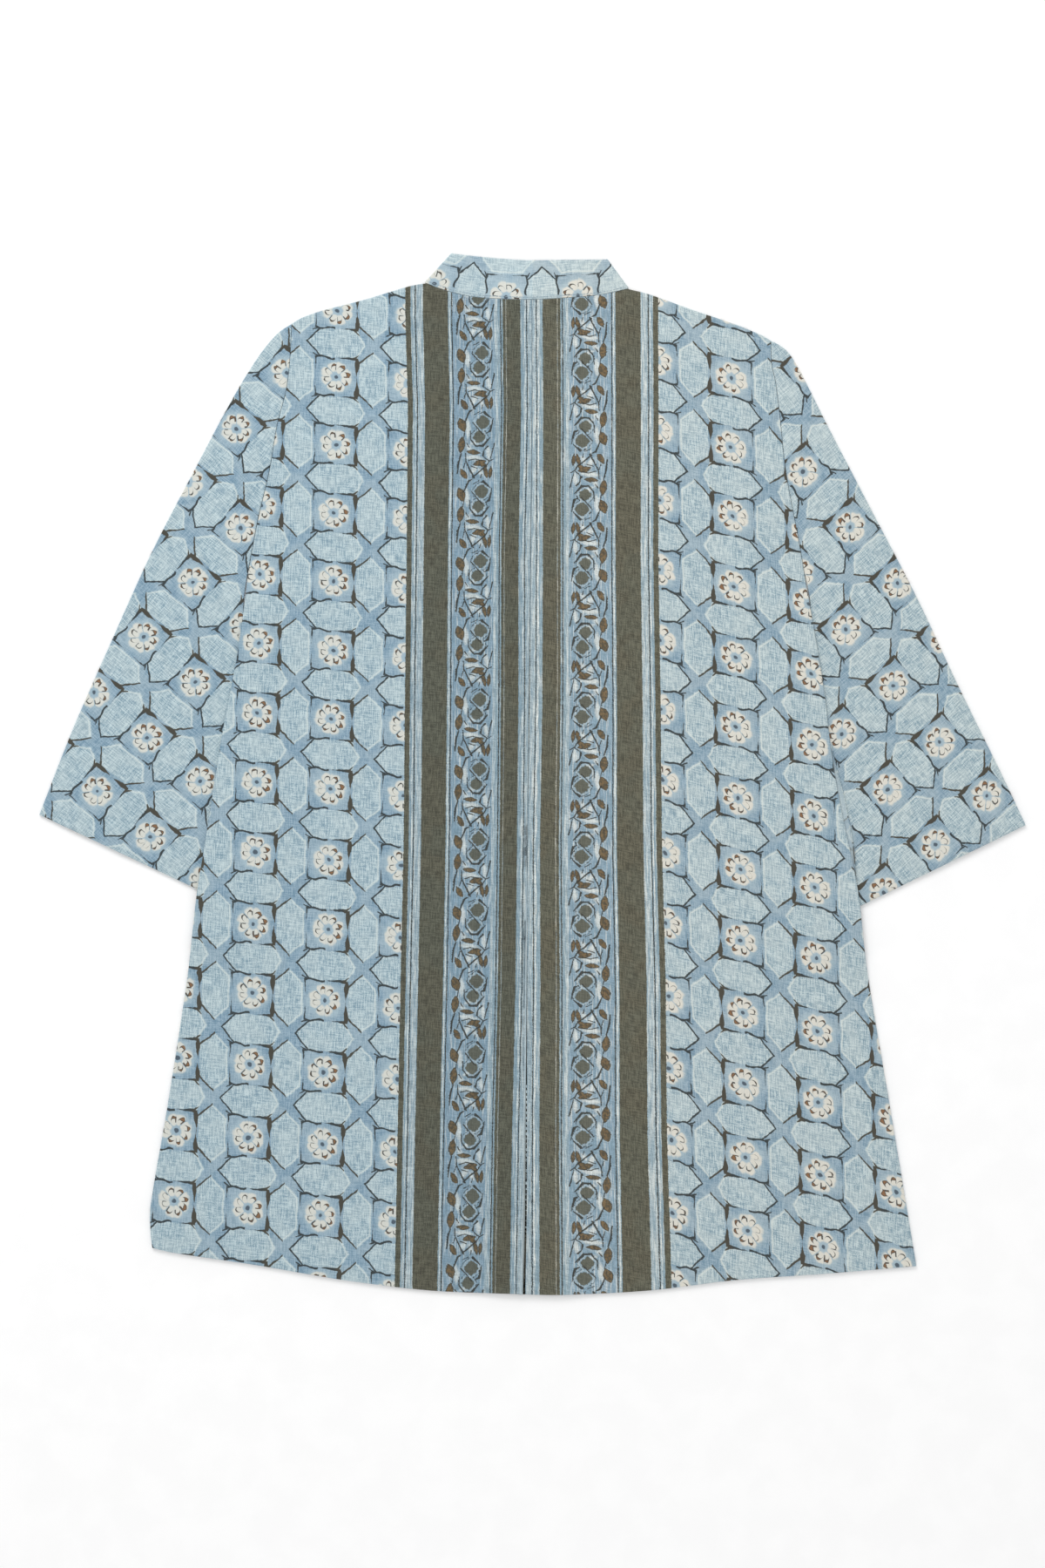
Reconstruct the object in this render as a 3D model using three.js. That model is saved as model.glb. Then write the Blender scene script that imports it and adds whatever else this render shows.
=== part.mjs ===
// Band collar shirt with wide three-quarter sleeves, laid flat, face down, so that its back shows.
// Millimetres, +Z up, the collar towards +Y and the hem towards -Y.
// "out" is a distance from the centre line towards one side, "up" is a place along +Y.
import * as THREE from 'three';

// Cloth, seams and folds
const CLOTH = 1.2;
const SEAM_GAP = 0.3;
const LAYER = CLOTH + SEAM_GAP;
const FOLD_RADIUS = (LAYER + CLOTH) / 2;
const FOLD_STEPS = 4;

// Front closure: the wearer's right front laps over the left one, with buttons on its outside
const LAP = 12.5;
const BUTTON_DIAMETER = 11.5;
const BUTTON_THICKNESS = 2.2;
const BUTTON_HOLE_DIAMETER = 1.8;
const BUTTON_HOLE_SPACING = 3.2;
const BUTTON_SIDES = 14;
const BUTTON_HOLE_SIDES = 6;
const FRONT_BUTTONS = 7;
const TOP_BUTTON_UP = 296;
const BUTTON_SPACING = 92;
const BAND_BUTTON_UP = 351;

// The ridge that the closure makes under the back
const OUTER_LAP_RISE = BUTTON_THICKNESS + SEAM_GAP;
const RIDGE_SIDE = { full: 20, none: 57 };
const RIDGE_TOP = { full: 402, none: 446 };
const RIDGE_BOTTOM = { full: -268, none: -430 };
const RIDGE_EASE = 0.3;

// Neck
const BAND_HEIGHT = 36;
const FRONT_NECK_UP = 333;
const NECK_COLUMNS = 7;
const BAND_ROWS = 3;
const BAND_BASE = [
  { x: -91.8, up: 421.9 }, { x: -71.6, up: 414.8 }, { x: -51.4, up: 410.3 }, { x: -27, up: 408 },
  { x: 0, up: 407.4 }, { x: 26.6, up: 408.8 }, { x: 60.8, up: 412.5 }, { x: 81.7, up: 417.1 },
];
const BAND_TOP = [
  { x: -68.5, up: 447.2 }, { x: -40, up: 444.2 }, { x: -8.6, up: 441.8 }, { x: 25, up: 441.9 },
  { x: 63.2, up: 442.2 },
];

// Centre-back seam, from the hem to the neck
const BACK_SEAM = [
  { up: -447, x: -10.6 }, { up: -376, x: -8.3 }, { up: 148, x: -2 }, { up: 313, x: -0.4 },
  { up: 407.4, x: -0.4 },
];

// Hem, from the wearer's left to the right
const HEM_CENTRE_UP = -447.6;
const HEM = [
  { x: -327.4, up: -408 }, { x: -312, up: -411.8 }, { x: -237.4, up: -423 }, { x: -162.4, up: -435.8 },
  { x: -87.4, up: -444.8 }, { x: -12.4, up: HEM_CENTRE_UP }, { x: 25, up: -448.4 }, { x: 100, up: -444.8 },
  { x: 175, up: -435.8 }, { x: 250, up: -430.5 }, { x: 330.4, up: -423.8 },
];

// Each side's own lines, from the neck outwards and from the top downwards
const UNDERARM_UP = 171;
const LEFT = {
  sign: -1,
  shoulder: [
    { out: 91.8, up: 421.9 }, { out: 106, up: 419.3 }, { out: 143.6, up: 408 }, { out: 181, up: 398.3 },
    { out: 200, up: 391.5 }, { out: 207, up: 387 },
  ],
  armhole: [
    { up: 387, out: 207 }, { up: 352, out: 209 }, { up: 329, out: 212 }, { up: 300.8, out: 219.4 },
    { up: 259.5, out: 226.5 }, { up: 216, out: 236.6 }, { up: UNDERARM_UP, out: 245 },
  ],
  side: [
    { up: UNDERARM_UP, out: 245 }, { up: 136, out: 249 }, { up: 82, out: 257.6 }, { up: 39, out: 266 },
    { up: -59, out: 281.6 }, { up: -105, out: 289 }, { up: -166.5, out: 295.9 }, { up: -279, out: 313 },
    { up: -372.8, out: 328.9 }, { up: -391.5, out: 329 }, { up: -408, out: 327.4 },
  ],
  overarm: [
    { up: 387, out: 207 }, { up: 379.5, out: 218.6 }, { up: 358.5, out: 236 }, { up: 321, out: 259 },
    { up: 264.8, out: 289 }, { up: 189.8, out: 328 }, { up: 114.8, out: 362 }, { up: 39.8, out: 395 },
    { up: -35.3, out: 424.5 },
  ],
  underarmLine: [
    { up: UNDERARM_UP, out: 245.8 }, { up: 146, out: 248.8 }, { up: 118, out: 248.4 }, { up: 0, out: 252 },
    { up: -112, out: 262 },
  ],
  frontPeek: [{ up: -500, out: 0 }, { up: 500, out: 0 }],
};
const RIGHT = {
  sign: 1,
  shoulder: [
    { out: 81.7, up: 417.1 }, { out: 100, up: 412.5 }, { out: 137.6, up: 399 }, { out: 175, up: 386.3 },
    { out: 198.4, up: 376.5 }, { out: 205, up: 372.5 },
  ],
  armhole: [
    { up: 372.5, out: 205 }, { up: 353, out: 205.6 }, { up: 337, out: 209 }, { up: 309, out: 212.6 },
    { up: 259.5, out: 218 }, { up: 197, out: 229.6 }, { up: UNDERARM_UP, out: 234 },
  ],
  side: [
    { up: UNDERARM_UP, out: 234 }, { up: 139.5, out: 239.4 }, { up: 74, out: 250.4 }, { up: 17, out: 257.3 },
    { up: -33, out: 266 }, { up: -97.5, out: 279.4 }, { up: -166.5, out: 287.6 }, { up: -279, out: 306.4 },
    { up: -372.8, out: 322 }, { up: -423.8, out: 330.4 },
  ],
  overarm: [
    { up: 372.5, out: 205 }, { up: 366.8, out: 215.6 }, { up: 358.5, out: 223 }, { up: 339.8, out: 233.6 },
    { up: 302.3, out: 252.4 }, { up: 227.3, out: 291.4 }, { up: 152.3, out: 330.4 }, { up: 77.3, out: 365.6 },
    { up: 2.3, out: 402.4 }, { up: -44.3, out: 424.5 },
  ],
  underarmLine: [
    { up: UNDERARM_UP, out: 234.8 }, { up: 146, out: 239.1 }, { up: 118, out: 239.6 }, { up: 0, out: 244 },
    { up: -126, out: 257.6 },
  ],
  frontPeek: [{ up: -90, out: 0 }, { up: -60, out: 4 }, { up: -20, out: 4.5 }, { up: 30, out: 0 }],
};

// Grid lines of the four body panels
const SIDE_ROWS = [-375, -330, -285, -240, -200, -165, -135, -108, -75, -35, 5, 45, 85, 120, 146, 158];
const ARMHOLE_ROWS = [188, 208, 232, 260, 292, 325, 352];
const SHOULDER_COLUMNS = [0.3, 0.56, 0.78, 0.92, 1];
const STRAIGHT_COLUMNS_OUT = 58;
const SLEEVE_RINGS = 12;

// Where the body lies over the sleeve
const SLEEVE_LIFT = 2 * LAYER;
const LIFT_START = { none: UNDERARM_UP, full: 147 };
const LIFT_END = { full: -137, none: -182 };
const LIFT_MARGIN = 10;
const LIFT_FOOT = 34;

// Soft loft of the upper layers, and the long soft folds of the back, each as a low ridge
const BACK_LOFT = 0.8;
const BACK_LOFT_FROM_SIDE = { full: 0.8, none: 1 };
const BACK_LOFT_FROM_HEM = { none: 0, full: 0.07 };
const BACK_LOFT_FROM_NECK = { full: 0.86, none: 0.98 };
const SLEEVE_LOFT = 0.7;
const SLEEVE_LOFT_FROM_ARMHOLE = { none: 0, full: 0.3 };
const SLEEVE_LOFT_FROM_BODY = { none: 0.35, full: 0.6 };
const SLEEVE_LOFT_FROM_OVERARM = { full: 0.8, none: 1 };
const FOLD_ENDS = 0.3;
const BACK_FOLDS = [
  { fromOut: 196, fromUp: 300, toOut: 178, toUp: 120, width: 26, rise: 0.9 },
  { fromOut: 205, fromUp: 60, toOut: 236, toUp: -190, width: 30, rise: 1.1 },
  { fromOut: 128, fromUp: -120, toOut: 150, toUp: -400, width: 34, rise: 0.7 },
];

// Each piece's overall colour
const TRELLIS_BLUE = 0x9fbcd0;
const BACK_BLUE = 0x86939a;
const BAND_BLUE = 0xaec7d6;
const BUTTON_BROWN = 0x6d6458;

const lerp = THREE.MathUtils.lerp;

// 0 at one value, 1 at the other and a soft step between, whichever is the larger
function smooth(from, to, value) {
  const t = THREE.MathUtils.clamp((value - from) / (to - from), 0, 1);
  return t * t * (3 - 2 * t);
}

// 1 from the place where something is full, 0 from the place where it is gone
const fade = (range, value) => 1 - smooth(range.full, range.none, value);

// A smooth line through the rows of a table, read off at one place of its key column
function lineAt(rows, key, column, place) {
  const sorted = [...rows].sort((a, b) => a[key] - b[key]);
  const last = sorted.length - 1;
  const steepness = sorted.map((row, i) => {
    const before = sorted[Math.max(i - 1, 0)];
    const after = sorted[Math.min(i + 1, last)];
    return (after[column] - before[column]) / (after[key] - before[key]);
  });
  const spot = THREE.MathUtils.clamp(place, sorted[0][key], sorted[last][key]);
  const found = sorted.findIndex((row) => row[key] > spot);
  const next = found < 0 ? last : Math.max(found, 1);
  const a = sorted[next - 1];
  const b = sorted[next];
  const span = b[key] - a[key];
  const t = (spot - a[key]) / span;
  const rise = b[column] - a[column];
  const bendA = steepness[next - 1] * span - rise;
  const bendB = rise - steepness[next] * span;
  return a[column] + rise * t + t * (1 - t) * (bendA * (1 - t) + bendB * t);
}

const outAt = (rows, up) => lineAt(rows, 'up', 'out', up);
const hemAt = (x) => lineAt(HEM, 'x', 'up', x);
const seamAt = (up) => lineAt(BACK_SEAM, 'up', 'x', up);

// Heights of the layers
function ridge(x, up) {
  const height = fade(RIDGE_SIDE, Math.abs(x)) * fade(RIDGE_TOP, up);
  return {
    outer: OUTER_LAP_RISE * height * fade(RIDGE_BOTTOM, up),
    lap: LAYER * height,
    ease: RIDGE_EASE * height,
  };
}

function sideLift(side, x, up) {
  const inward = outAt(side.side, up) - x * side.sign;
  const covered = Math.max(0, outAt(side.side, up) - outAt(side.underarmLine, up)) + LIFT_MARGIN;
  const across = 1 - smooth(covered, covered + LIFT_FOOT, inward);
  return SLEEVE_LIFT * across * fade(LIFT_START, up) * fade(LIFT_END, up);
}

function foldRise(side, x, up) {
  const place = new THREE.Vector2(x * side.sign, up);
  let rise = 0;
  for (const fold of BACK_FOLDS) {
    const from = new THREE.Vector2(fold.fromOut, fold.fromUp);
    const run = new THREE.Vector2(fold.toOut, fold.toUp).sub(from);
    const along = place.clone().sub(from).dot(run) / run.lengthSq();
    const off = place.clone().sub(from).cross(run) / run.length();
    const ends = smooth(0, FOLD_ENDS, along) * smooth(0, FOLD_ENDS, 1 - along);
    rise += fold.rise * ends * (1 - smooth(0, fold.width, Math.abs(off)));
  }
  return rise;
}

const rightFrontHeight = (x, up) => ridge(x, up).outer + sideLift(RIGHT, x, up);
const leftFrontHeight = (x, up) => ridge(x, up).outer + ridge(x, up).lap + sideLift(LEFT, x, up);

function backHeight(side, x, up, loft) {
  const closure = ridge(x, up);
  const over = closure.outer + closure.lap + closure.ease + sideLift(side, x, up);
  return LAYER + over + loft * (BACK_LOFT + foldRise(side, x, up));
}

// The grid of points inside four edges: inner and outer run from hem to top, bottom and top outwards.
function gridInside(inner, outer, bottom, top, across, along) {
  const corner = (i, j) => [[bottom[0], top[0]], [bottom.at(-1), top.at(-1)]][i][j];
  return along.map((v, j) => across.map((u, i) => {
    const point = new THREE.Vector2();
    point.addScaledVector(bottom[i], 1 - v).addScaledVector(top[i], v);
    point.addScaledVector(inner[j], 1 - u).addScaledVector(outer[j], u);
    point.addScaledVector(corner(0, 0), -(1 - u) * (1 - v)).addScaledVector(corner(1, 0), -u * (1 - v));
    point.addScaledVector(corner(0, 1), -(1 - u) * v).addScaledVector(corner(1, 1), -u * v);
    return point;
  }));
}

// Neck points from the centre to the neck corner, spaced closer towards the corner
function neckFractions() {
  return Array.from({ length: NECK_COLUMNS + 1 }, (_, i) => Math.sin((i / NECK_COLUMNS) * Math.PI / 2));
}

function backNeckPoints(side) {
  const corner = side.shoulder[0];
  const start = seamAt(BAND_BASE[0].up);
  return neckFractions().map((part) => {
    const x = lerp(start, corner.out * side.sign, part);
    return new THREE.Vector2(x, lineAt(BAND_BASE, 'x', 'up', x));
  });
}

function bandTopPoints(side) {
  const corner = side.sign < 0 ? BAND_TOP[0] : BAND_TOP.at(-1);
  const start = seamAt(BAND_BASE[0].up);
  return neckFractions().map((part) => {
    const x = lerp(start, corner.x, part);
    return new THREE.Vector2(x, lineAt(BAND_TOP, 'x', 'up', x));
  });
}

// The front neckline and the band's upper edge over it are quarter ellipses, run on straight over the lap
function frontQuarter(side, cornerOut, cornerUp, lowest) {
  const round = neckFractions().map((part, i) => {
    const drop = Math.cos((i / NECK_COLUMNS) * Math.PI / 2);
    return new THREE.Vector2(cornerOut * side.sign * part, lerp(cornerUp, lowest, drop));
  });
  return [new THREE.Vector2(-LAP * side.sign, lowest), ...round];
}

function frontNeckPoints(side) {
  const corner = side.shoulder[0];
  return frontQuarter(side, corner.out, corner.up, FRONT_NECK_UP);
}

function frontBandTopPoints(side) {
  const corner = side.sign < 0 ? BAND_TOP[0] : BAND_TOP.at(-1);
  return frontQuarter(side, Math.abs(corner.x), corner.up, FRONT_NECK_UP + BAND_HEIGHT);
}

// The cloth edge beside the band stands off from it by the seam gap
function awayFromBand(base, top) {
  return base.map((point, i) => {
    const away = point.clone().sub(top[i]).normalize();
    return point.clone().addScaledVector(away, SEAM_GAP);
  });
}

function shoulderPoints(side) {
  const from = side.shoulder[0].out;
  const to = side.shoulder.at(-1).out;
  return SHOULDER_COLUMNS.map((part) => {
    const out = lerp(from, to, part);
    return new THREE.Vector2(out * side.sign, lineAt(side.shoulder, 'out', 'up', out));
  });
}

// One body panel's plan grid. The neck edge comes first in its top edge, then the shoulder.
function panelGrid(side, neck, innerEdgeAt, peek) {
  const top = [...neck, ...shoulderPoints(side)];
  const tip = top.at(-1);
  const hemCorner = side.side.at(-1);
  const heights = [hemCorner.up, ...SIDE_ROWS, UNDERARM_UP, ...ARMHOLE_ROWS, tip.y];
  const along = heights.map((up) => (up - hemCorner.up) / (tip.y - hemCorner.up));
  const outer = heights.map((up) => {
    const edge = up > UNDERARM_UP ? outAt(side.armhole, up) : outAt(side.side, up);
    const extra = peek ? outAt(side.frontPeek, up) : 0;
    return new THREE.Vector2((edge + extra) * side.sign, up);
  });
  const hemStart = innerEdgeAt(HEM_CENTRE_UP);
  const spread = hemCorner.out - Math.abs(tip.x);
  const bottom = top.map((point, i) => {
    const out = point.x * side.sign;
    const share = Math.max(0, out - STRAIGHT_COLUMNS_OUT) / (Math.abs(tip.x) - STRAIGHT_COLUMNS_OUT);
    const x = i === 0 ? hemStart : (out + spread * share) * side.sign;
    return new THREE.Vector2(x, hemAt(x));
  });
  const across = top.map((point) => (point.x - top[0].x) / (tip.x - top[0].x));
  const inner = along.map((v) => {
    const up = lerp(bottom[0].y, top[0].y, v);
    return new THREE.Vector2(innerEdgeAt(up), up);
  });
  inner[0].copy(bottom[0]);
  inner[along.length - 1].copy(top[0]);
  return { points: gridInside(inner, outer, bottom, top, across, along), across, along };
}

// A closed solid from triangles over a list of points, turned inside out if its volume is negative
function closedSolid(points, triangles) {
  let volume = 0;
  for (const [a, b, c] of triangles) {
    volume += points[a].dot(points[b].clone().cross(points[c]));
  }
  const facing = volume < 0 ? triangles.map(([a, b, c]) => [a, c, b]) : triangles;
  const geometry = new THREE.BufferGeometry();
  geometry.setFromPoints(points);
  geometry.setIndex(facing.flat());
  geometry.computeVertexNormals();
  return geometry;
}

// A wall of cloth between a lower and an upper grid of points, closed all round its edge
function wallBetween(lower, upper) {
  const rows = lower.length;
  const columns = lower[0].length;
  const points = [...lower.flat(), ...upper.flat()];
  const at = (j, i, top) => (top ? rows * columns : 0) + j * columns + i;
  const triangles = [];
  const quad = (a, b, c, d) => triangles.push([a, b, c], [a, c, d]);
  for (let j = 0; j < rows - 1; j += 1) {
    for (let i = 0; i < columns - 1; i += 1) {
      quad(at(j, i, true), at(j, i + 1, true), at(j + 1, i + 1, true), at(j + 1, i, true));
      quad(at(j, i, false), at(j + 1, i, false), at(j + 1, i + 1, false), at(j, i + 1, false));
    }
  }
  for (let i = 0; i < columns - 1; i += 1) {
    quad(at(0, i, false), at(0, i + 1, false), at(0, i + 1, true), at(0, i, true));
    const end = rows - 1;
    quad(at(end, i + 1, false), at(end, i, false), at(end, i, true), at(end, i + 1, true));
  }
  for (let j = 0; j < rows - 1; j += 1) {
    quad(at(j + 1, 0, false), at(j, 0, false), at(j, 0, true), at(j + 1, 0, true));
    quad(at(j, columns - 1, false), at(j + 1, columns - 1, false), at(j + 1, columns - 1, true),
      at(j, columns - 1, true));
  }
  return closedSolid(points, triangles);
}

// A tube of cloth from an outer and an inner ring at each station, open at both ends
function tubeBetween(outerRings, innerRings) {
  const stations = outerRings.length;
  const round = outerRings[0].length;
  const points = [...outerRings.flat(), ...innerRings.flat()];
  const at = (s, k, inside) => (inside ? stations * round : 0) + s * round + (k % round);
  const triangles = [];
  const quad = (a, b, c, d) => triangles.push([a, b, c], [a, c, d]);
  for (let k = 0; k < round; k += 1) {
    for (let s = 0; s < stations - 1; s += 1) {
      quad(at(s, k, false), at(s, k + 1, false), at(s + 1, k + 1, false), at(s + 1, k, false));
      quad(at(s, k + 1, true), at(s, k, true), at(s + 1, k, true), at(s + 1, k + 1, true));
    }
    const end = stations - 1;
    quad(at(0, k + 1, false), at(0, k, false), at(0, k, true), at(0, k + 1, true));
    quad(at(end, k, false), at(end, k + 1, false), at(end, k + 1, true), at(end, k, true));
  }
  return closedSolid(points, triangles);
}

function clothMaterial(colour) {
  return new THREE.MeshStandardMaterial({ color: colour, roughness: 0.9, metalness: 0 });
}

function piece(name, geometry, material) {
  const mesh = new THREE.Mesh(geometry, material);
  mesh.name = name;
  return mesh;
}

// A panel as a wall of even thickness over its plan grid
function panelSolid(grid, heightAt) {
  const lift = (extra) => grid.points.map((row, j) => row.map((point, i) => {
    const height = heightAt(point.x, point.y, grid.across[i], grid.along[j]);
    return new THREE.Vector3(point.x, point.y, height + extra);
  }));
  return wallBetween(lift(0), lift(CLOTH));
}

function backPanel(name, side, material) {
  const neck = awayFromBand(backNeckPoints(side), bandTopPoints(side));
  const innerEdgeAt = (up) => seamAt(up) + (SEAM_GAP / 2) * side.sign;
  neck[0].x = innerEdgeAt(neck[0].y);
  const grid = panelGrid(side, neck, innerEdgeAt, false);
  const loftAt = (u, v) => fade(BACK_LOFT_FROM_SIDE, u) * fade(BACK_LOFT_FROM_HEM, v)
    * fade(BACK_LOFT_FROM_NECK, v);
  const solid = panelSolid(grid, (x, up, u, v) => backHeight(side, x, up, loftAt(u, v)));
  return piece(name, solid, material);
}

function frontPanel(name, side, heightAt, material) {
  const neck = awayFromBand(frontNeckPoints(side), frontBandTopPoints(side));
  neck[0].x = -LAP * side.sign;
  const grid = panelGrid(side, neck, () => -LAP * side.sign, true);
  return piece(name, panelSolid(grid, heightAt), material);
}

// One ring of a flattened sleeve: the lower layer outwards, the overarm fold, the upper layer back, the
// underarm fold. The inner ring has the same points, one cloth thickness further in.
function sleeveRing(line, thickness, loftAt) {
  const first = line[0];
  const last = line.at(-1);
  const overarm = last.clone().sub(line.at(-2)).normalize();
  const underarm = first.clone().sub(line[1]).normalize();
  const radius = FOLD_RADIUS - thickness;
  const ring = [];
  const foldPoints = (end, outward, lowFirst) => {
    for (let k = 1; k < FOLD_STEPS; k += 1) {
      const turn = (k / FOLD_STEPS) * Math.PI;
      const spot = end.clone().addScaledVector(outward, radius * Math.sin(turn));
      const height = FOLD_RADIUS - (lowFirst ? 1 : -1) * radius * Math.cos(turn);
      ring.push(new THREE.Vector3(spot.x, spot.y, height));
    }
  };
  for (const point of line) {
    ring.push(new THREE.Vector3(point.x, point.y, thickness));
  }
  foldPoints(last, overarm, true);
  for (let i = line.length - 1; i >= 0; i -= 1) {
    const height = 2 * FOLD_RADIUS - thickness + loftAt(i / (line.length - 1));
    ring.push(new THREE.Vector3(line[i].x, line[i].y, height));
  }
  foldPoints(first, underarm, false);
  return ring;
}

function sleeve(name, side, material) {
  const tip = side.armhole[0];
  const cuffOut = side.overarm.at(-1);
  const cuffIn = side.underarmLine.at(-1);
  const flat = (out, up) => new THREE.Vector2(out * side.sign, up);
  const heights = [UNDERARM_UP, ...ARMHOLE_ROWS, tip.up];
  const stations = Array.from({ length: SLEEVE_RINGS }, (_, i) => i / (SLEEVE_RINGS - 1));
  const across = heights.map((up) => (up - UNDERARM_UP) / (tip.up - UNDERARM_UP));
  const armhole = heights.map((up) => flat(outAt(side.armhole, up) + SEAM_GAP, up));
  const cuff = across.map((u) => flat(lerp(cuffIn.out, cuffOut.out, u), lerp(cuffIn.up, cuffOut.up, u)));
  const underarm = stations.map((s) => {
    const up = lerp(UNDERARM_UP, cuffIn.up, s);
    return flat(outAt(side.underarmLine, up), up);
  });
  const overarm = stations.map((s) => {
    const up = lerp(tip.up, cuffOut.up, s);
    return flat(outAt(side.overarm, up), up);
  });
  underarm[0].copy(armhole[0]);
  overarm[0].copy(armhole.at(-1));
  const rows = gridInside(underarm, overarm, armhole, cuff, across, stations);
  for (const row of rows) {
    const inwards = row.at(-2).clone().sub(row.at(-1)).normalize();
    const outwards = row[1].clone().sub(row[0]).normalize();
    row.at(-1).addScaledVector(inwards, FOLD_RADIUS);
    row[0].addScaledVector(outwards, FOLD_RADIUS);
  }
  const loftOn = (s) => (u) => SLEEVE_LOFT * fade(SLEEVE_LOFT_FROM_ARMHOLE, s)
    * fade(SLEEVE_LOFT_FROM_BODY, u) * fade(SLEEVE_LOFT_FROM_OVERARM, u);
  const outer = rows.map((row, j) => sleeveRing(row, 0, loftOn(stations[j])));
  const inner = rows.map((row, j) => sleeveRing(row, CLOTH, loftOn(stations[j])));
  return piece(name, tubeBetween(outer, inner), material);
}

// The band as one strip: the left front half, a fold, the back half on top, a fold, the right front half
function bandCollar(name, material) {
  const columns = [];
  const flatColumn = (base, top, heightAt, facing) => columns.push(
    Array.from({ length: BAND_ROWS + 1 }, (_, r) => {
      const point = base.clone().lerp(top, r / BAND_ROWS);
      const height = heightAt(point.x, point.y) + CLOTH / 2;
      return { at: new THREE.Vector3(point.x, point.y, height), facing: new THREE.Vector3(0, 0, facing) };
    }));
  const foldOutward = (base, top, sign) => {
    const edge = top.clone().sub(base).normalize();
    return new THREE.Vector2(edge.y * sign, -edge.x * sign);
  };
  const foldColumns = (base, top, sign, rising) => {
    const outward = foldOutward(base, top, sign);
    for (let k = 1; k < FOLD_STEPS; k += 1) {
      const turn = (rising ? k : FOLD_STEPS - k) * Math.PI / FOLD_STEPS;
      const sideways = outward.clone().multiplyScalar(Math.sin(turn));
      const facing = new THREE.Vector3(sideways.x, sideways.y, -Math.cos(turn));
      columns.push(Array.from({ length: BAND_ROWS + 1 }, (_, r) => {
        const point = base.clone().lerp(top, r / BAND_ROWS);
        const at = new THREE.Vector3(point.x, point.y, FOLD_RADIUS);
        return { at: at.addScaledVector(facing, FOLD_RADIUS - CLOTH / 2), facing };
      }));
    }
  };
  const [left, right] = [LEFT, RIGHT].map((side) => ({
    frontBase: frontNeckPoints(side),
    frontTop: frontBandTopPoints(side),
    backBase: backNeckPoints(side),
    backTop: bandTopPoints(side),
  }));
  const backAt = (side) => (x, up) => backHeight(side, x, up, 0);
  left.frontBase.forEach((base, i) => flatColumn(base, left.frontTop[i], leftFrontHeight, -1));
  foldColumns(left.backBase.at(-1), left.backTop.at(-1), -1, true);
  for (let i = NECK_COLUMNS; i > 0; i -= 1) {
    flatColumn(left.backBase[i], left.backTop[i], backAt(LEFT), 1);
  }
  right.backBase.forEach((base, i) => flatColumn(base, right.backTop[i], backAt(RIGHT), 1));
  foldColumns(right.backBase.at(-1), right.backTop.at(-1), 1, false);
  for (let i = right.frontBase.length - 1; i >= 0; i -= 1) {
    flatColumn(right.frontBase[i], right.frontTop[i], rightFrontHeight, -1);
  }
  const skin = (shift) => columns.map((column) => column.map(
    ({ at, facing }) => at.clone().addScaledVector(facing, shift)));
  return piece(name, wallBetween(skin(-CLOTH / 2), skin(CLOTH / 2)), material);
}

function regularOutline(Kind, radius, sides, x, y) {
  const outline = new Kind();
  const corners = Array.from({ length: sides }, (_, i) => {
    const turn = (i / sides) * 2 * Math.PI;
    return new THREE.Vector2(x + radius * Math.cos(turn), y + radius * Math.sin(turn));
  });
  outline.setFromPoints(corners);
  return outline;
}

// A plain flat button with four holes, its outside down on the surface
function button(name, up, material) {
  const outline = regularOutline(THREE.Shape, BUTTON_DIAMETER / 2, BUTTON_SIDES, 0, 0);
  for (const x of [-1, 1]) {
    for (const y of [-1, 1]) {
      const offset = BUTTON_HOLE_SPACING / 2;
      const radius = BUTTON_HOLE_DIAMETER / 2;
      outline.holes.push(regularOutline(THREE.Path, radius, BUTTON_HOLE_SIDES, x * offset, y * offset));
    }
  }
  const geometry = new THREE.ExtrudeGeometry(outline, { depth: BUTTON_THICKNESS, bevelEnabled: false });
  const mesh = piece(name, geometry, material);
  mesh.position.set(0, up, 0);
  return mesh;
}

const trellisCloth = clothMaterial(TRELLIS_BLUE);
const backCloth = clothMaterial(BACK_BLUE);
const bandCloth = clothMaterial(BAND_BLUE);
const shell = new THREE.MeshStandardMaterial({ color: BUTTON_BROWN, roughness: 0.45, metalness: 0 });

const shirt = new THREE.Group();
shirt.add(backPanel('back_left', LEFT, backCloth));
shirt.add(backPanel('back_right', RIGHT, backCloth));
shirt.add(frontPanel('front_left', LEFT, leftFrontHeight, trellisCloth));
shirt.add(frontPanel('front_right', RIGHT, rightFrontHeight, trellisCloth));
shirt.add(sleeve('sleeve_left', LEFT, trellisCloth));
shirt.add(sleeve('sleeve_right', RIGHT, trellisCloth));
shirt.add(bandCollar('band_collar', bandCloth));
shirt.add(button('button_band', BAND_BUTTON_UP, shell));
for (let i = 0; i < FRONT_BUTTONS; i += 1) {
  shirt.add(button(`button_${i + 1}`, TOP_BUTTON_UP - i * BUTTON_SPACING, shell));
}

// The origin is the centre of the footprint, on the surface
const footprint = new THREE.Box3().setFromObject(shirt);
shirt.position.set(-(footprint.min.x + footprint.max.x) / 2, -(footprint.min.y + footprint.max.y) / 2, 0);

export default shirt;
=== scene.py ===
"""Band collar shirt in printed cotton, laid flat with its back up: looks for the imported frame."""

import math

import bpy
import numpy as np
from bpy.props import FloatProperty, FloatVectorProperty, PointerProperty
from bpy.types import Operator, Panel, PropertyGroup
from mathutils import Matrix, Vector


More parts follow.
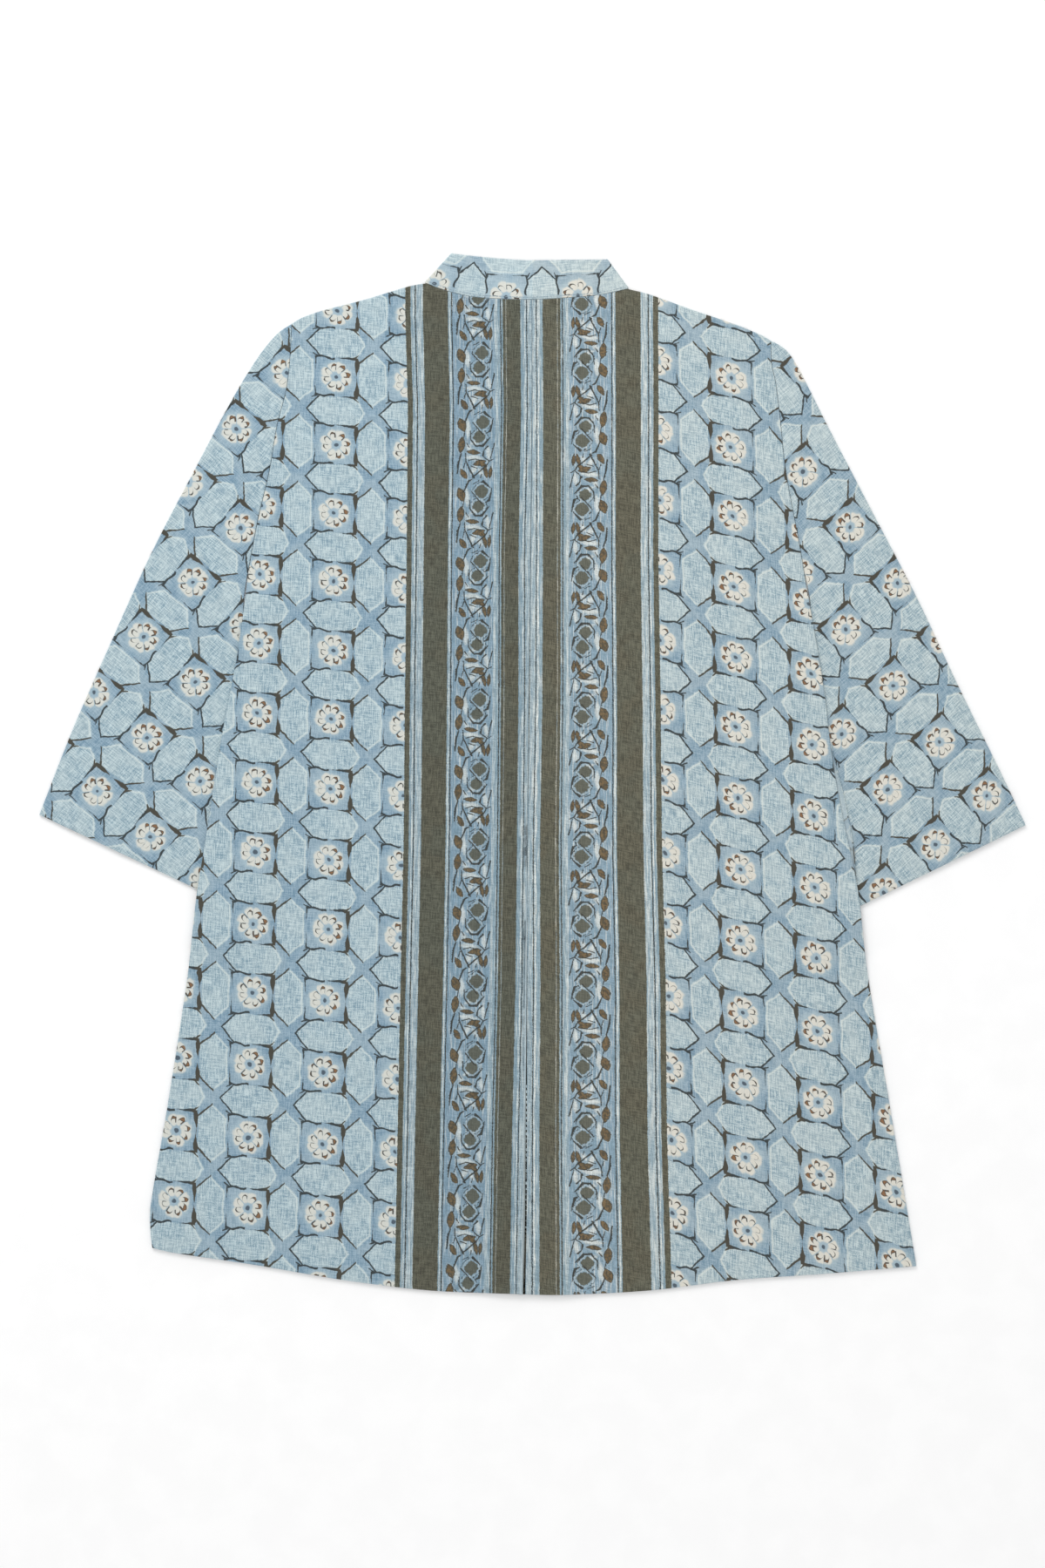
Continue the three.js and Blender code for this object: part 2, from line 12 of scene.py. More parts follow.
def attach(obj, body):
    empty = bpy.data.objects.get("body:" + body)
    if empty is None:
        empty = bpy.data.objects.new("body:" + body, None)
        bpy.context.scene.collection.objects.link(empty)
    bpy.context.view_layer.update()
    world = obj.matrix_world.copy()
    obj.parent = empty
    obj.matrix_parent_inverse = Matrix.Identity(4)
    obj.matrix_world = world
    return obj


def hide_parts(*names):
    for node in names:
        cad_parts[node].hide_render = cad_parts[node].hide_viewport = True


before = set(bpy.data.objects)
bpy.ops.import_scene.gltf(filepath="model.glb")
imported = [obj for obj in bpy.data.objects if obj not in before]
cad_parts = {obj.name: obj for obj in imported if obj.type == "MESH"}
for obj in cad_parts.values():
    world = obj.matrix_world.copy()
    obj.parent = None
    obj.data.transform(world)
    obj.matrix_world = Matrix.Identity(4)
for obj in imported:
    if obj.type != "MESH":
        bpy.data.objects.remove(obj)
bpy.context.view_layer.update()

bl_info = {
    "name": "Band collar shirt",
    "version": (1, 0, 0),
    "blender": (4, 5, 0),
    "location": "3D View > Sidebar > Shirt",
    "description": "Makes a printed band collar shirt laid flat, its buttons, stitching and stage",
    "category": "Object",
}

MM = 0.001

# The frame's origin is the centre of the footprint, this far from the drawing's own zero (mm)
DRAWING_SHIFT_UP = 0.18079

# Heights of the layers (mm), as in the solids
CLOTH = 1.2
SEAM_GAP = 0.3
LAYER = CLOTH + SEAM_GAP
FOLD_RADIUS = (LAYER + CLOTH) / 2
LAP = 12.5
BUTTON_TOP = 2.2
OUTER_LAP_RISE = BUTTON_TOP + SEAM_GAP
RIDGE_SIDE = (20, 57)
RIDGE_TOP = (402, 446)
RIDGE_BOTTOM = (-268, -430)
RIDGE_EASE = 0.3
SLEEVE_LIFT = 2 * LAYER
LIFT_START = (147, 171)
LIFT_END = (-137, -182)
LIFT_MARGIN = 10
LIFT_FOOT = 34
FOLD_ENDS = 0.3

# Loft of the back and sleeves (mm), and the shares of the way across and along where it comes and goes
BACK_LOFT = 0.8
BACK_LOFT_TO_SIDE = (0.8, 1)
BACK_LOFT_FROM_HEM = (0, 0.07)
BACK_LOFT_TO_NECK = (0.86, 0.98)
SLEEVE_LOFT = 0.7
SLEEVE_LOFT_FROM_ARMHOLE = (0, 0.3)
SLEEVE_LOFT_FROM_BODY = (0.35, 0.6)
SLEEVE_LOFT_TO_FOLD = (0.8, 1)

# Neck
BAND_HEIGHT = 36
FRONT_NECK_UP = 333
BAND_BASE = [(-91.8, 421.9), (-71.6, 414.8), (-51.4, 410.3), (-27, 408), (0, 407.4), (26.6, 408.8),
             (60.8, 412.5), (81.7, 417.1)]
BAND_TOP = [(-68.5, 447.2), (-40, 444.2), (-8.6, 441.8), (25, 441.9), (63.2, 442.2)]

# Seam and hem, as (up, x) and (x, up)
BACK_SEAM = [(-447, -10.6), (-376, -8.3), (148, -2), (313, -0.4), (407.4, -0.4)]
HEM_CENTRE_UP = -447.6
HEM = [(-327.4, -408), (-312, -411.8), (-237.4, -423), (-162.4, -435.8), (-87.4, -444.8),
       (-12.4, HEM_CENTRE_UP), (25, -448.4), (100, -444.8), (175, -435.8), (250, -430.5), (330.4, -423.8)]
UNDERARM_UP = 171
# The panels' columns run straight down to this far out from the centre, and spread to the hem beyond it
STRAIGHT_OUT = 58

# Each side's lines: shoulder as (out, up), the others as (up, out)
SIDES = {
    "left": {
        "sign": -1,
        "shoulder": [(91.8, 421.9), (106, 419.3), (143.6, 408), (181, 398.3), (200, 391.5), (207, 387)],
        "armhole": [(387, 207), (352, 209), (329, 212), (300.8, 219.4), (259.5, 226.5), (216, 236.6),
                    (171, 245)],
        "side": [(171, 245), (136, 249), (82, 257.6), (39, 266), (-59, 281.6), (-105, 289),
                 (-166.5, 295.9), (-279, 313), (-372.8, 328.9), (-391.5, 329), (-408, 327.4)],
        "overarm": [(387, 207), (379.5, 218.6), (358.5, 236), (321, 259), (264.8, 289), (189.8, 328),
                    (114.8, 362), (39.8, 395), (-35.3, 424.5)],
        "underarm": [(171, 245.8), (146, 248.8), (118, 248.4), (0, 252), (-112, 262)],
        "peek": [(-500, 0), (500, 0)],
    },
    "right": {
        "sign": 1,
        "shoulder": [(81.7, 417.1), (100, 412.5), (137.6, 399), (175, 386.3), (198.4, 376.5),
                     (205, 372.5)],
        "armhole": [(372.5, 205), (353, 205.6), (337, 209), (309, 212.6), (259.5, 218), (197, 229.6),
                    (171, 234)],
        "side": [(171, 234), (139.5, 239.4), (74, 250.4), (17, 257.3), (-33, 266), (-97.5, 279.4),
                 (-166.5, 287.6), (-279, 306.4), (-372.8, 322), (-423.8, 330.4)],
        "overarm": [(372.5, 205), (366.8, 215.6), (358.5, 223), (339.8, 233.6), (302.3, 252.4),
                    (227.3, 291.4), (152.3, 330.4), (77.3, 365.6), (2.3, 402.4), (-44.3, 424.5)],
        "underarm": [(171, 234.8), (146, 239.1), (118, 239.6), (0, 244), (-126, 257.6)],
        "peek": [(-90, 0), (-60, 4), (-20, 4.5), (30, 0)],
    },
}

# Long soft folds of the back: from (out, up), to (out, up), width, rise
BACK_FOLDS = [
    ((196, 300), (178, 120), 26, 0.9),
    ((205, 60), (236, -190), 30, 1.1),
    ((128, -120), (150, -400), 34, 0.7),
]

# The print's repeat (mm) and where each piece's repeats lie: the middle of one rosette, the step to the
# next one across and along the cloth, and how much the step along it grows from one repeat to the next.
# Across the cloth always points to the centre back.
REPEAT_ACROSS = 64.0
REPEAT_ALONG = 60.0
REPEATS = {
    "back_left": ((-172.05, 106.05), (63.14, -6.06), (-0.98, -59.46), (-0.04, -0.168)),
    "back_right": ((175.58, 39.75), (-64.5, 15.11), (-1.19, 60.85), (0.03, -0.137)),
    "sleeve_left": ((-335.18, 117.08), (42.14, 47.15), (45.65, -38.47), (0, 0)),
    "sleeve_right": ((269.85, 123.15), (-40.35, 47.75), (44.37, 41.16), (0, 0)),
}
# One rosette of each front panel (out, along) and the band's repeat
FRONT_ROSETTE = (167, 20)
BAND_REPEAT = 62.6
# The band's print over the back of the neck: a line through its rosettes (x, up), one at BAND_ROSETTE
BAND_ROSETTES = [(-140, 440), (-84, 421.4), (-55, 414), (-26, 410.2), (6, 409.6), (37.6, 410.8), (69, 413),
                 (100, 417)]
BAND_ROSETTE = -23.0

# The border beside the centre-back seam runs between two lines, 9.8 and 105.7 mm out on the cloth (up, x)
BORDER_INNER_OUT = 9.8
BORDER_OUTER_OUT = 105.7
BORDER_LINES = {
    "left": (
        [(396, -10.5), (313.5, -9.75), (186, -12.1), (66, -12.1), (-61.5, -13.3), (-181.5, -14.6),
         (-309, -17.5), (-436.5, -19.4)],
        [(396, -107.3), (313.5, -105.1), (186, -106.2), (66, -107.6), (-61.5, -108.8), (-181.5, -111.4),
         (-309, -113.9), (-436.5, -116.4)],
    ),
    "right": (
        [(396, 8.6), (313.5, 9.15), (186, 8.85), (66, 8.5), (-61.5, 6.4), (-181.5, 6.8), (-309, 5.85),
         (-436.5, 6.0)],
        [(396, 106), (313.5, 106.3), (186, 106.1), (66, 108), (-61.5, 109.1), (-181.5, 112.3),
         (-309, 113.3), (-436.5, 117.2)],
    ),
}
# Heights at which every third border motif starts (up, repeats along the cloth)
BORDER_STARTS = {
    "left": [(420.0, 0.98), (361.65, 0), (182.8, -3), (3.75, -6), (-178.35, -9), (-363.6, -12),
             (-450, -13.4)],
    "right": [(420.0, -1.28), (344.6, 0), (168.0, 3), (-11.25, 6), (-191.6, 9), (-373.5, 12),
              (-450, 13.26)],
}


# The shirt's lines and heights, all in millimetres

def smooth(start, end, value):
    """0 at one value, 1 at the other and a soft step between, whichever is the larger."""
    t = np.clip((value - start) / (end - start), 0, 1)
    return t * t * (3 - 2 * t)


def fade(ends, value):
    """1 from the place where something is full, 0 from the place where it is gone."""
    return 1 - smooth(ends[0], ends[1], value)


def unit(vectors):
    """Vectors of the same directions, each one long."""
    return vectors / np.linalg.norm(vectors, axis=-1, keepdims=True)


def run_lengths(line):
    """How far along a line each of its points lies."""
    return np.concatenate([[0], np.cumsum(np.linalg.norm(np.diff(line, axis=0), axis=-1))])


def line_at(rows, places):
    """A smooth line through (place, value) rows, read off at each place."""
    keys, values = np.array(sorted(rows), float).T
    index = np.arange(len(keys))
    before, after = np.maximum(index - 1, 0), np.minimum(index + 1, len(keys) - 1)
    steepness = (values[after] - values[before]) / (keys[after] - keys[before])
    spot = np.clip(np.asarray(places, float), keys[0], keys[-1])
    b = np.clip(np.searchsorted(keys, spot, side="right"), 1, len(keys) - 1)
    a = b - 1
    span = keys[b] - keys[a]
    t = (spot - keys[a]) / span
    rise = values[b] - values[a]
    bend = (steepness[a] * span - rise) * (1 - t) + (rise - steepness[b] * span) * t
    return values[a] + rise * t + t * (1 - t) * bend


def straight_at(rows, places):
    """Straight lines through (place, value) rows, read off at each place."""
    keys, values = np.array(sorted(rows), float).T
    return np.interp(places, keys, values)


def ridge(x, up):
    """How far the closure under the cloth lifts it: the outer lap, the inner one and some ease."""
    height = fade(RIDGE_SIDE, abs(x)) * fade(RIDGE_TOP, up)
    return OUTER_LAP_RISE * height * fade(RIDGE_BOTTOM, up), LAYER * height, RIDGE_EASE * height


def side_lift(side, x, up):
    """How far the body is lifted where it lies over the sleeve."""
    inward = line_at(side["side"], up) - x * side["sign"]
    cover = line_at(side["side"], up) - line_at(side["underarm"], up)
    covered = np.maximum(0, cover) + LIFT_MARGIN
    across = 1 - smooth(covered, covered + LIFT_FOOT, inward)
    return SLEEVE_LIFT * across * fade(LIFT_START, up) * fade(LIFT_END, up)


def fold_rise(side, x, up):
    """Long soft folds of the back."""
    out = x * side["sign"]
    total = 0
    for (out_a, up_a), (out_b, up_b), width, rise in BACK_FOLDS:
        run = math.hypot(out_b - out_a, up_b - up_a)
        along = ((out - out_a) * (out_b - out_a) + (up - up_a) * (up_b - up_a)) / run ** 2
        off = abs((out - out_a) * (up_b - up_a) - (up - up_a) * (out_b - out_a)) / run
        ends = smooth(0, FOLD_ENDS, along) * smooth(0, FOLD_ENDS, 1 - along)
        total = total + rise * ends * (1 - smooth(0, width, off))
    return total


def front_height(side, x, up):
    """The underside of a front panel. The wearer's left one lies over the right one's lap."""
    outer, lap, _ = ridge(x, up)
    return outer + (lap if side["sign"] < 0 else 0) + side_lift(side, x, up)


def back_height(side, x, up, loft):
    """The underside of a back panel's solid."""
    outer, lap, ease = ridge(x, up)
    rise = BACK_LOFT + fold_rise(side, x, up)
    return LAYER + outer + lap + ease + side_lift(side, x, up) + loft * rise


def neck_turns(count):
    return np.linspace(0, math.pi / 2, count)


def back_neck(side, count):
    """Neck seam of a back panel, from the centre to the neck corner, and the band's top above it."""
    part = np.sin(neck_turns(count))
    start = line_at(BACK_SEAM, BAND_BASE[0][1])
    corner = side["shoulder"][0][0] * side["sign"]
    top_corner = (BAND_TOP[0] if side["sign"] < 0 else BAND_TOP[-1])[0]
    base_x = start + (corner - start) * part
    top_x = start + (top_corner - start) * part
    return (np.stack([base_x, line_at(BAND_BASE, base_x)], 1),
            np.stack([top_x, line_at(BAND_TOP, top_x)], 1))


def front_quarter(side, out, up, lowest, count):
    """A quarter ellipse from the centre to a neck corner, run on straight over the lap."""
    turns = neck_turns(count)
    curve = np.stack([out * side["sign"] * np.sin(turns), up + (lowest - up) * np.cos(turns)], 1)
    lap = np.linspace(-LAP * side["sign"], 0, 5)[:-1]
    return np.concatenate([np.stack([lap, np.full(len(lap), lowest)], 1), curve])


def front_neck(side, count):
    """Neck seam of a front panel and the band's upper edge over it."""
    out, up = side["shoulder"][0]
    top_out, top_up = BAND_TOP[0] if side["sign"] < 0 else BAND_TOP[-1]
    return (front_quarter(side, out, up, FRONT_NECK_UP, count),
            front_quarter(side, abs(top_out), top_up, FRONT_NECK_UP + BAND_HEIGHT, count))


def beside_band(base, top):
    """The cloth edge beside the band stands off from it by the seam gap."""
    return base + unit(base - top) * SEAM_GAP


def grid_inside(inner, outer, bottom, top, across, along):
    """Points inside four edges: inner and outer run from hem to top, bottom and top outwards."""
    u = across[None, :, None]
    v = along[:, None, None]
    plan = (1 - v) * bottom[None] + v * top[None] + (1 - u) * inner[:, None] + u * outer[:, None]
    return plan - ((1 - u) * (1 - v) * bottom[0] + u * (1 - v) * bottom[-1]
                   + (1 - u) * v * top[0] + u * v * top[-1])


def edge_loops(grid, axis, at_end, radius, steps):
    """Adds loops of points close to one edge, at steps of the radius in from it.

    Gives the new grid and how far in each of its lines along that axis lies, as a share of the radius.
    """
    lines = np.moveaxis(grid, axis, 0)
    if at_end:
        lines = lines[::-1]
    inwards = unit(lines[1] - lines[0])
    radius = np.asarray(radius, float)
    reach = radius[:, None] if radius.ndim else radius
    loops = [lines[0] + inwards * reach * step for step in steps]
    lines = np.concatenate([np.stack(loops), lines[1:]])
    shares = np.concatenate([np.array(steps, float), np.full(len(lines) - len(steps), 1.0)])
    if at_end:
        lines, shares = lines[::-1], shares[::-1]
    return np.moveaxis(lines, 0, axis), shares


EDGE_STEPS = (0, 0.04, 0.16, 0.38, 0.66, 1)


def edge_drop(shares, depth):
    """How far a rounded edge lies below the flat cloth, for each share of the way in from it."""
    return depth * (1 - np.sqrt(np.clip(1 - (1 - shares) ** 2, 0, 1)))


def spaced(start, end, step):
    return np.linspace(start, end, max(2, int(round(abs(end - start) / step)) + 1))


def panel_grid(side, neck, inner_edge, peek, step):
    """Plan of one body panel: points, shares across and along. Rows run from the hem to the shoulder."""
    shoulder_out = spaced(side["shoulder"][0][0], side["shoulder"][-1][0], step)[1:]
    shoulder = np.stack([shoulder_out * side["sign"], line_at(side["shoulder"], shoulder_out)], 1)
    top = np.concatenate([neck, shoulder])
    hem_up, hem_out = side["side"][-1]
    tip_out, tip_up = side["shoulder"][-1]
    heights = np.concatenate([spaced(hem_up, UNDERARM_UP, step), spaced(UNDERARM_UP, tip_up, step)[1:]])
    along = (heights - hem_up) / (tip_up - hem_up)
    edge = np.where(heights > UNDERARM_UP, line_at(side["armhole"], heights),
                    line_at(side["side"], heights))
    if peek:
        edge = edge + line_at(side["peek"], heights)
    outer = np.stack([edge * side["sign"], heights], 1)
    out = top[:, 0] * side["sign"]
    share = np.maximum(0, out - STRAIGHT_OUT) / (tip_out - STRAIGHT_OUT)
    bottom_x = (out + (hem_out - tip_out) * share) * side["sign"]
    bottom_x[0] = inner_edge(HEM_CENTRE_UP)
    bottom = np.stack([bottom_x, line_at(HEM, bottom_x)], 1)
    across = (top[:, 0] - top[0, 0]) / (top[-1, 0] - top[0, 0])
    inner_up = bottom[0, 1] + (top[0, 1] - bottom[0, 1]) * along
    inner = np.stack([inner_edge(inner_up), inner_up], 1)
    inner[0], inner[-1] = bottom[0], top[0]
    return grid_inside(inner, outer, bottom, top, across, along), across, along, heights


# Where each piece's print lies

def repeat_places(name, points):
    """Repeats across and along the cloth at each point."""
    origin, across, along, growth = (np.array(v, float) for v in REPEATS[name])
    basis = np.linalg.inv(np.stack([across, along], 1))
    place = (points - origin) @ basis.T
    for _ in range(3):
        bent = points - origin - place[..., 1:2] ** 2 * growth
        place = bent @ basis.T
    return place


def border_places(side_name, points):
    """Distance out from the seam and along it on the cloth (mm), for the border's print."""
    x, up = points[..., 0], points[..., 1]
    inner = straight_at(BORDER_LINES[side_name][0], up)
    outer = straight_at(BORDER_LINES[side_name][1], up)
    span = BORDER_OUTER_OUT - BORDER_INNER_OUT
    out = BORDER_INNER_OUT + (x - inner) / (outer - inner) * span
    return np.stack([out, line_at(BORDER_STARTS[side_name], up) * REPEAT_ALONG], -1)


def band_places(x, up):
    """Repeats down and along the band's print over the back of the neck."""
    nearest = x
    for _ in range(4):
        slope = (line_at(BAND_ROSETTES, nearest + 2) - line_at(BAND_ROSETTES, nearest - 2)) / 4
        nearest = x + slope * (up - line_at(BAND_ROSETTES, nearest)) * 0.8
    steps = np.arange(-160, 161, 2.0)
    run = run_lengths(np.stack([steps, line_at(BAND_ROSETTES, steps)], 1))
    start = np.interp(BAND_ROSETTE, steps, run)
    rise = np.hypot(x - nearest, up - line_at(BAND_ROSETTES, nearest))
    above = np.sign(up - line_at(BAND_ROSETTES, nearest))
    return np.stack([-rise * above / REPEAT_ACROSS,
                     (np.interp(nearest, steps, run) - start) / BAND_REPEAT], -1)


def front_places(side_name, points):
    """Repeats and border distances of a front panel: the border lies beside the opening."""
    sign = SIDES[side_name]["sign"]
    out = points[..., 0] * sign
    along = -points[..., 1] * sign
    rosette_out, rosette_along = FRONT_ROSETTE
    place = np.stack([-(out - rosette_out) / REPEAT_ACROSS, (along - rosette_along) / REPEAT_ALONG], -1)
    return place, np.stack([out, along], -1)


# Meshes

def in_frame(points):
    """Drawing millimetres to the frame's metres."""
    return (points + np.array([0, DRAWING_SHIFT_UP, 0])) * MM


def mesh_object(name, points, faces, layers=None):
    """An object from points in drawing millimetres, its quads and its UV maps (a value a point)."""
    mesh = bpy.data.meshes.new(name)
    mesh.from_pydata(in_frame(points), [], faces.tolist() if hasattr(faces, "tolist") else faces)
    corners = np.empty(len(mesh.loops), np.int32)
    mesh.loops.foreach_get("vertex_index", corners)
    for layer, values in (layers or {}).items():
        uv = mesh.uv_layers.new(name=layer)
        uv.uv.foreach_set("vector", np.ascontiguousarray(values[corners], np.float32).ravel())
    mesh.polygons.foreach_set("use_smooth", np.ones(len(mesh.polygons), bool))
    mesh.update()
    thing = bpy.data.objects.new(name, mesh)
    bpy.context.scene.collection.objects.link(thing)
    return thing


def grid_normals(points):
    """Unit normals of a grid of points."""
    along = np.gradient(points, axis=0)
    across = np.gradient(points, axis=1)
    return unit(np.cross(across, along))


def ring_numbers(shape):
    """The number of each point in rows of rings, and that of the next point round its ring."""
    index = np.arange(math.prod(shape)).reshape(shape)
    return index, np.roll(index, -1, axis=-1)


def closed_shell(outer, inner, quad, wall, probe, facing_up):
    """Points and faces of a shell from its two skins and the wall between them, and which face inwards.

    The outer skin faces up or down at one of its faces, whose number is given as the probe.
    """
    count = outer[..., 0].size
    points = np.concatenate([outer.reshape(-1, 3), inner.reshape(-1, 3)])
    faces = np.concatenate([quad, quad[:, ::-1] + count, wall])
    a, b, c = points[quad[probe][:3]]
    if (np.cross(b - a, c - a)[2] > 0) != facing_up:
        faces = faces[:, ::-1]
    inside_faces = np.zeros(len(faces), bool)
    inside_faces[len(quad):2 * len(quad)] = True
    return points, faces, inside_faces


def shell_from_grid(outer, thickness, facing_up):
    """A closed thin shell: the given grid is its outside, and its inside lies one thickness behind."""
    normal = grid_normals(outer)
    if (normal[..., 2].mean() > 0) != facing_up:
        normal = -normal
    rows, columns = outer.shape[:2]
    index = np.arange(rows * columns).reshape(rows, columns)
    quad = np.stack([index[:-1, :-1], index[:-1, 1:], index[1:, 1:], index[1:, :-1]], -1).reshape(-1, 4)
    rim = np.concatenate([index[0, :], index[1:, -1], index[-1, -2::-1], index[-2:0:-1, 0]])
    following = np.roll(rim, -1)
    wall = np.stack([rim, rim + index.size, following + index.size, following], -1)
    return closed_shell(outer, outer - normal * thickness, quad, wall, len(quad) // 2, facing_up)


def assign(thing, outside, inside=None, inside_faces=None):
    """Gives a piece its finish, and another one on its inside faces where it has one."""
    thing.data.materials.append(outside)
    if inside is not None:
        thing.data.materials.append(inside)
        thing.data.polygons.foreach_set("material_index", inside_faces.astype(np.int32))


# Materials

def linear(*parts):
    """Colour parts of 0 to 255, as seen on a screen, as a linear colour."""
    shares = [part / 255 for part in parts]
    return tuple(s / 12.92 if s <= 0.04045 else ((s + 0.055) / 1.055) ** 2.4 for s in shares)


class Value:
    """One number in a material: arithmetic on it adds Math nodes."""

    def __init__(self, paint, socket):
        self.paint = paint
        self.socket = socket

    def __add__(self, other):
        return self.paint.maths("ADD", self, other)

    __radd__ = __add__

    def __sub__(self, other):
        return self.paint.maths("SUBTRACT", self, other)

    def __rsub__(self, other):
        return self.paint.maths("SUBTRACT", other, self)

    def __mul__(self, other):
        return self.paint.maths("MULTIPLY", self, other)

    __rmul__ = __mul__

    def __truediv__(self, other):
        return self.paint.maths("DIVIDE", self, other)

    def __pow__(self, power):
        return self.paint.maths("POWER", self, power)

    def __abs__(self):
        return self.paint.maths("ABSOLUTE", self)


class Paint:
    """The node tree of one material, and the few ways in which nodes are added to it."""

    def __init__(self, name):
        self.material = bpy.data.materials.new(name)
        self.material.use_nodes = True
        self.tree = self.material.node_tree
        self.tree.nodes.clear()

    def node(self, kind, settings=None, inputs=None):
        """A node of one type, with its settings made first, then the values or links of its sockets."""
        node = self.tree.nodes.new(kind)
        for setting, value in (settings or {}).items():
            if setting == "stops":
                self.set_stops(node.color_ramp, value)
            else:
                setattr(node, setting, value)
        for key, value in (inputs or {}).items():
            socket = node.inputs[key]
            value = value.socket if isinstance(value, Value) else value
            if isinstance(value, bpy.types.NodeSocket):
                self.tree.links.new(value, socket)
            elif socket.type == "RGBA" and len(value) == 3:
                socket.default_value = (*value, 1)
            else:
                socket.default_value = value
        return node

    @staticmethod
    def set_stops(ramp, stops):
        ramp.interpolation = "LINEAR"
        while len(ramp.elements) < len(stops):
            ramp.elements.new(1)
        for element, (position, colour) in zip(ramp.elements, stops):
            element.position = position
            element.color = (*colour, 1)

    def maths(self, operation, *values, clamp=False):
        settings = {"operation": operation, "use_clamp": clamp}
        node = self.node("ShaderNodeMath", settings, dict(enumerate(values)))
        return Value(self, node.outputs[0])

    def vector_maths(self, operation, *values):
        node = self.node("ShaderNodeVectorMath", {"operation": operation}, dict(enumerate(values)))
        return node.outputs[0]

    def dot(self, vector, constant):
        settings = {"operation": "DOT_PRODUCT"}
        node = self.node("ShaderNodeVectorMath", settings, {0: vector, 1: constant})
        return Value(self, node.outputs["Value"])

    def length(self, vector):
        node = self.node("ShaderNodeVectorMath", {"operation": "LENGTH"}, {0: vector})
        return Value(self, node.outputs["Value"])

    def apart(self, vector):
        node = self.node("ShaderNodeSeparateXYZ", None, {0: vector})
        return [Value(self, socket) for socket in node.outputs]

    def together(self, x, y):
        return self.node("ShaderNodeCombineXYZ", None, {0: x, 1: y}).outputs[0]

    def uv(self, name):
        return self.node("ShaderNodeUVMap", {"uv_map": name}).outputs[0]

    def noise(self, vector, scale, detail=2.0, roughness=0.5):
        inputs = {"Vector": vector, "Scale": scale, "Detail": detail, "Roughness": roughness}
        return self.node("ShaderNodeTexNoise", {"noise_dimensions": "2D"}, inputs)

    def noise_value(self, vector, scale, detail=2.0, roughness=0.5):
        return Value(self, self.noise(vector, scale, detail, roughness).outputs[0])

    def step(self, value, start, end):
        """0 up to start and 1 from end, with a soft step between."""
        inputs = {"Value": value, "From Min": start, "From Max": end}
        settings = {"interpolation_type": "SMOOTHSTEP"}
        return Value(self, self.node("ShaderNodeMapRange", settings, inputs).outputs[0])

    def inside(self, distance, soft=0.22):
        """1 where a distance is below zero."""
        return self.step(distance, soft, -soft)

    def nearest(self, distances):
        """The least of some distances. Each is made only as it is needed, so that few are held at once."""
        distances = iter(distances)
        nearest = next(distances)
        for distance in distances:
            nearest = self.maths("MINIMUM", nearest, distance)
        return nearest

    def least(self, *distances):
        return self.nearest(distances)

    def most(self, first, *others):
        for other in others:
            first = self.maths("MAXIMUM", first, other)
        return first

    def mix(self, share, under, over, blend="MIX"):
        settings = {"data_type": "RGBA", "blend_type": blend}
        return self.node("ShaderNodeMix", settings, {0: share, 6: under, 7: over}).outputs[2]

    def stroke(self, place, start, end, half_start, half_end):
        """Distance from a stroke that runs straight from start to end, with its half widths there."""
        run = (end[0] - start[0], end[1] - start[1])
        squared = run[0] ** 2 + run[1] ** 2
        off = self.vector_maths("SUBTRACT", place, (*start, 0))
        part = self.dot(off, (run[0] / squared, run[1] / squared, 0))
        part = self.maths("ADD", part, 0, clamp=True)
        back = self.node("ShaderNodeVectorMath", {"operation": "SCALE"}, {
            0: (-run[0], -run[1], 0), "Scale": part}).outputs[0]
        back = self.vector_maths("ADD", back, off)
        half = self.maths("MULTIPLY_ADD", part, half_end - half_start, half_start)
        return self.length(back) - half

    def leaf(self, place, middle, turn, length, width):
        """Distance-like value of a leaf pointed at both ends, its length along the turn in degrees."""
        angle = math.radians(turn)
        off = self.vector_maths("SUBTRACT", place, (*middle, 0))
        along = self.dot(off, (2 * math.cos(angle) / length, 2 * math.sin(angle) / length, 0))
        aside = self.dot(off, (-2 * math.sin(angle) / width, 2 * math.cos(angle) / width, 0))
        return (self.maths("MULTIPLY_ADD", along, along, abs(aside)) - 1) * (width / 2)

    def disc(self, place, middle, radius):
        """Distance from a disc that bulges a little up, down and to both sides."""
        off = self.vector_maths("SUBTRACT", place, (*middle, 0))
        corners = self.dot(self.vector_maths("ABSOLUTE", off), (0.34, 0.34, 0))
        return self.maths("MULTIPLY_ADD", self.length(off), 0.6, corners) - radius


def cloth_threads(paint, place):
    """Slub of the woven cloth, 0 to 1, and its fine weave, from a place in millimetres."""
    downs = paint.vector_maths("MULTIPLY", place, (1 / 0.95, 1 / 9, 0))
    acrosses = paint.vector_maths("MULTIPLY", place, (1 / 9, 1 / 1.05, 0))
    fine = paint.noise_value(place, 1.3, 2.0, 0.75)
    slub = (paint.noise_value(downs, 1.0, 1.0) * 0.34 + paint.noise_value(acrosses, 1.0, 1.0) * 0.26
            + fine * 0.4)
    x, y, _ = paint.apart(place)
    weave = paint.maths("SINE", x * (2 * math.pi / 0.8)) * paint.maths("SINE", y * (2 * math.pi / 0.8))
    return paint.step(slub, 0.37, 0.63), weave


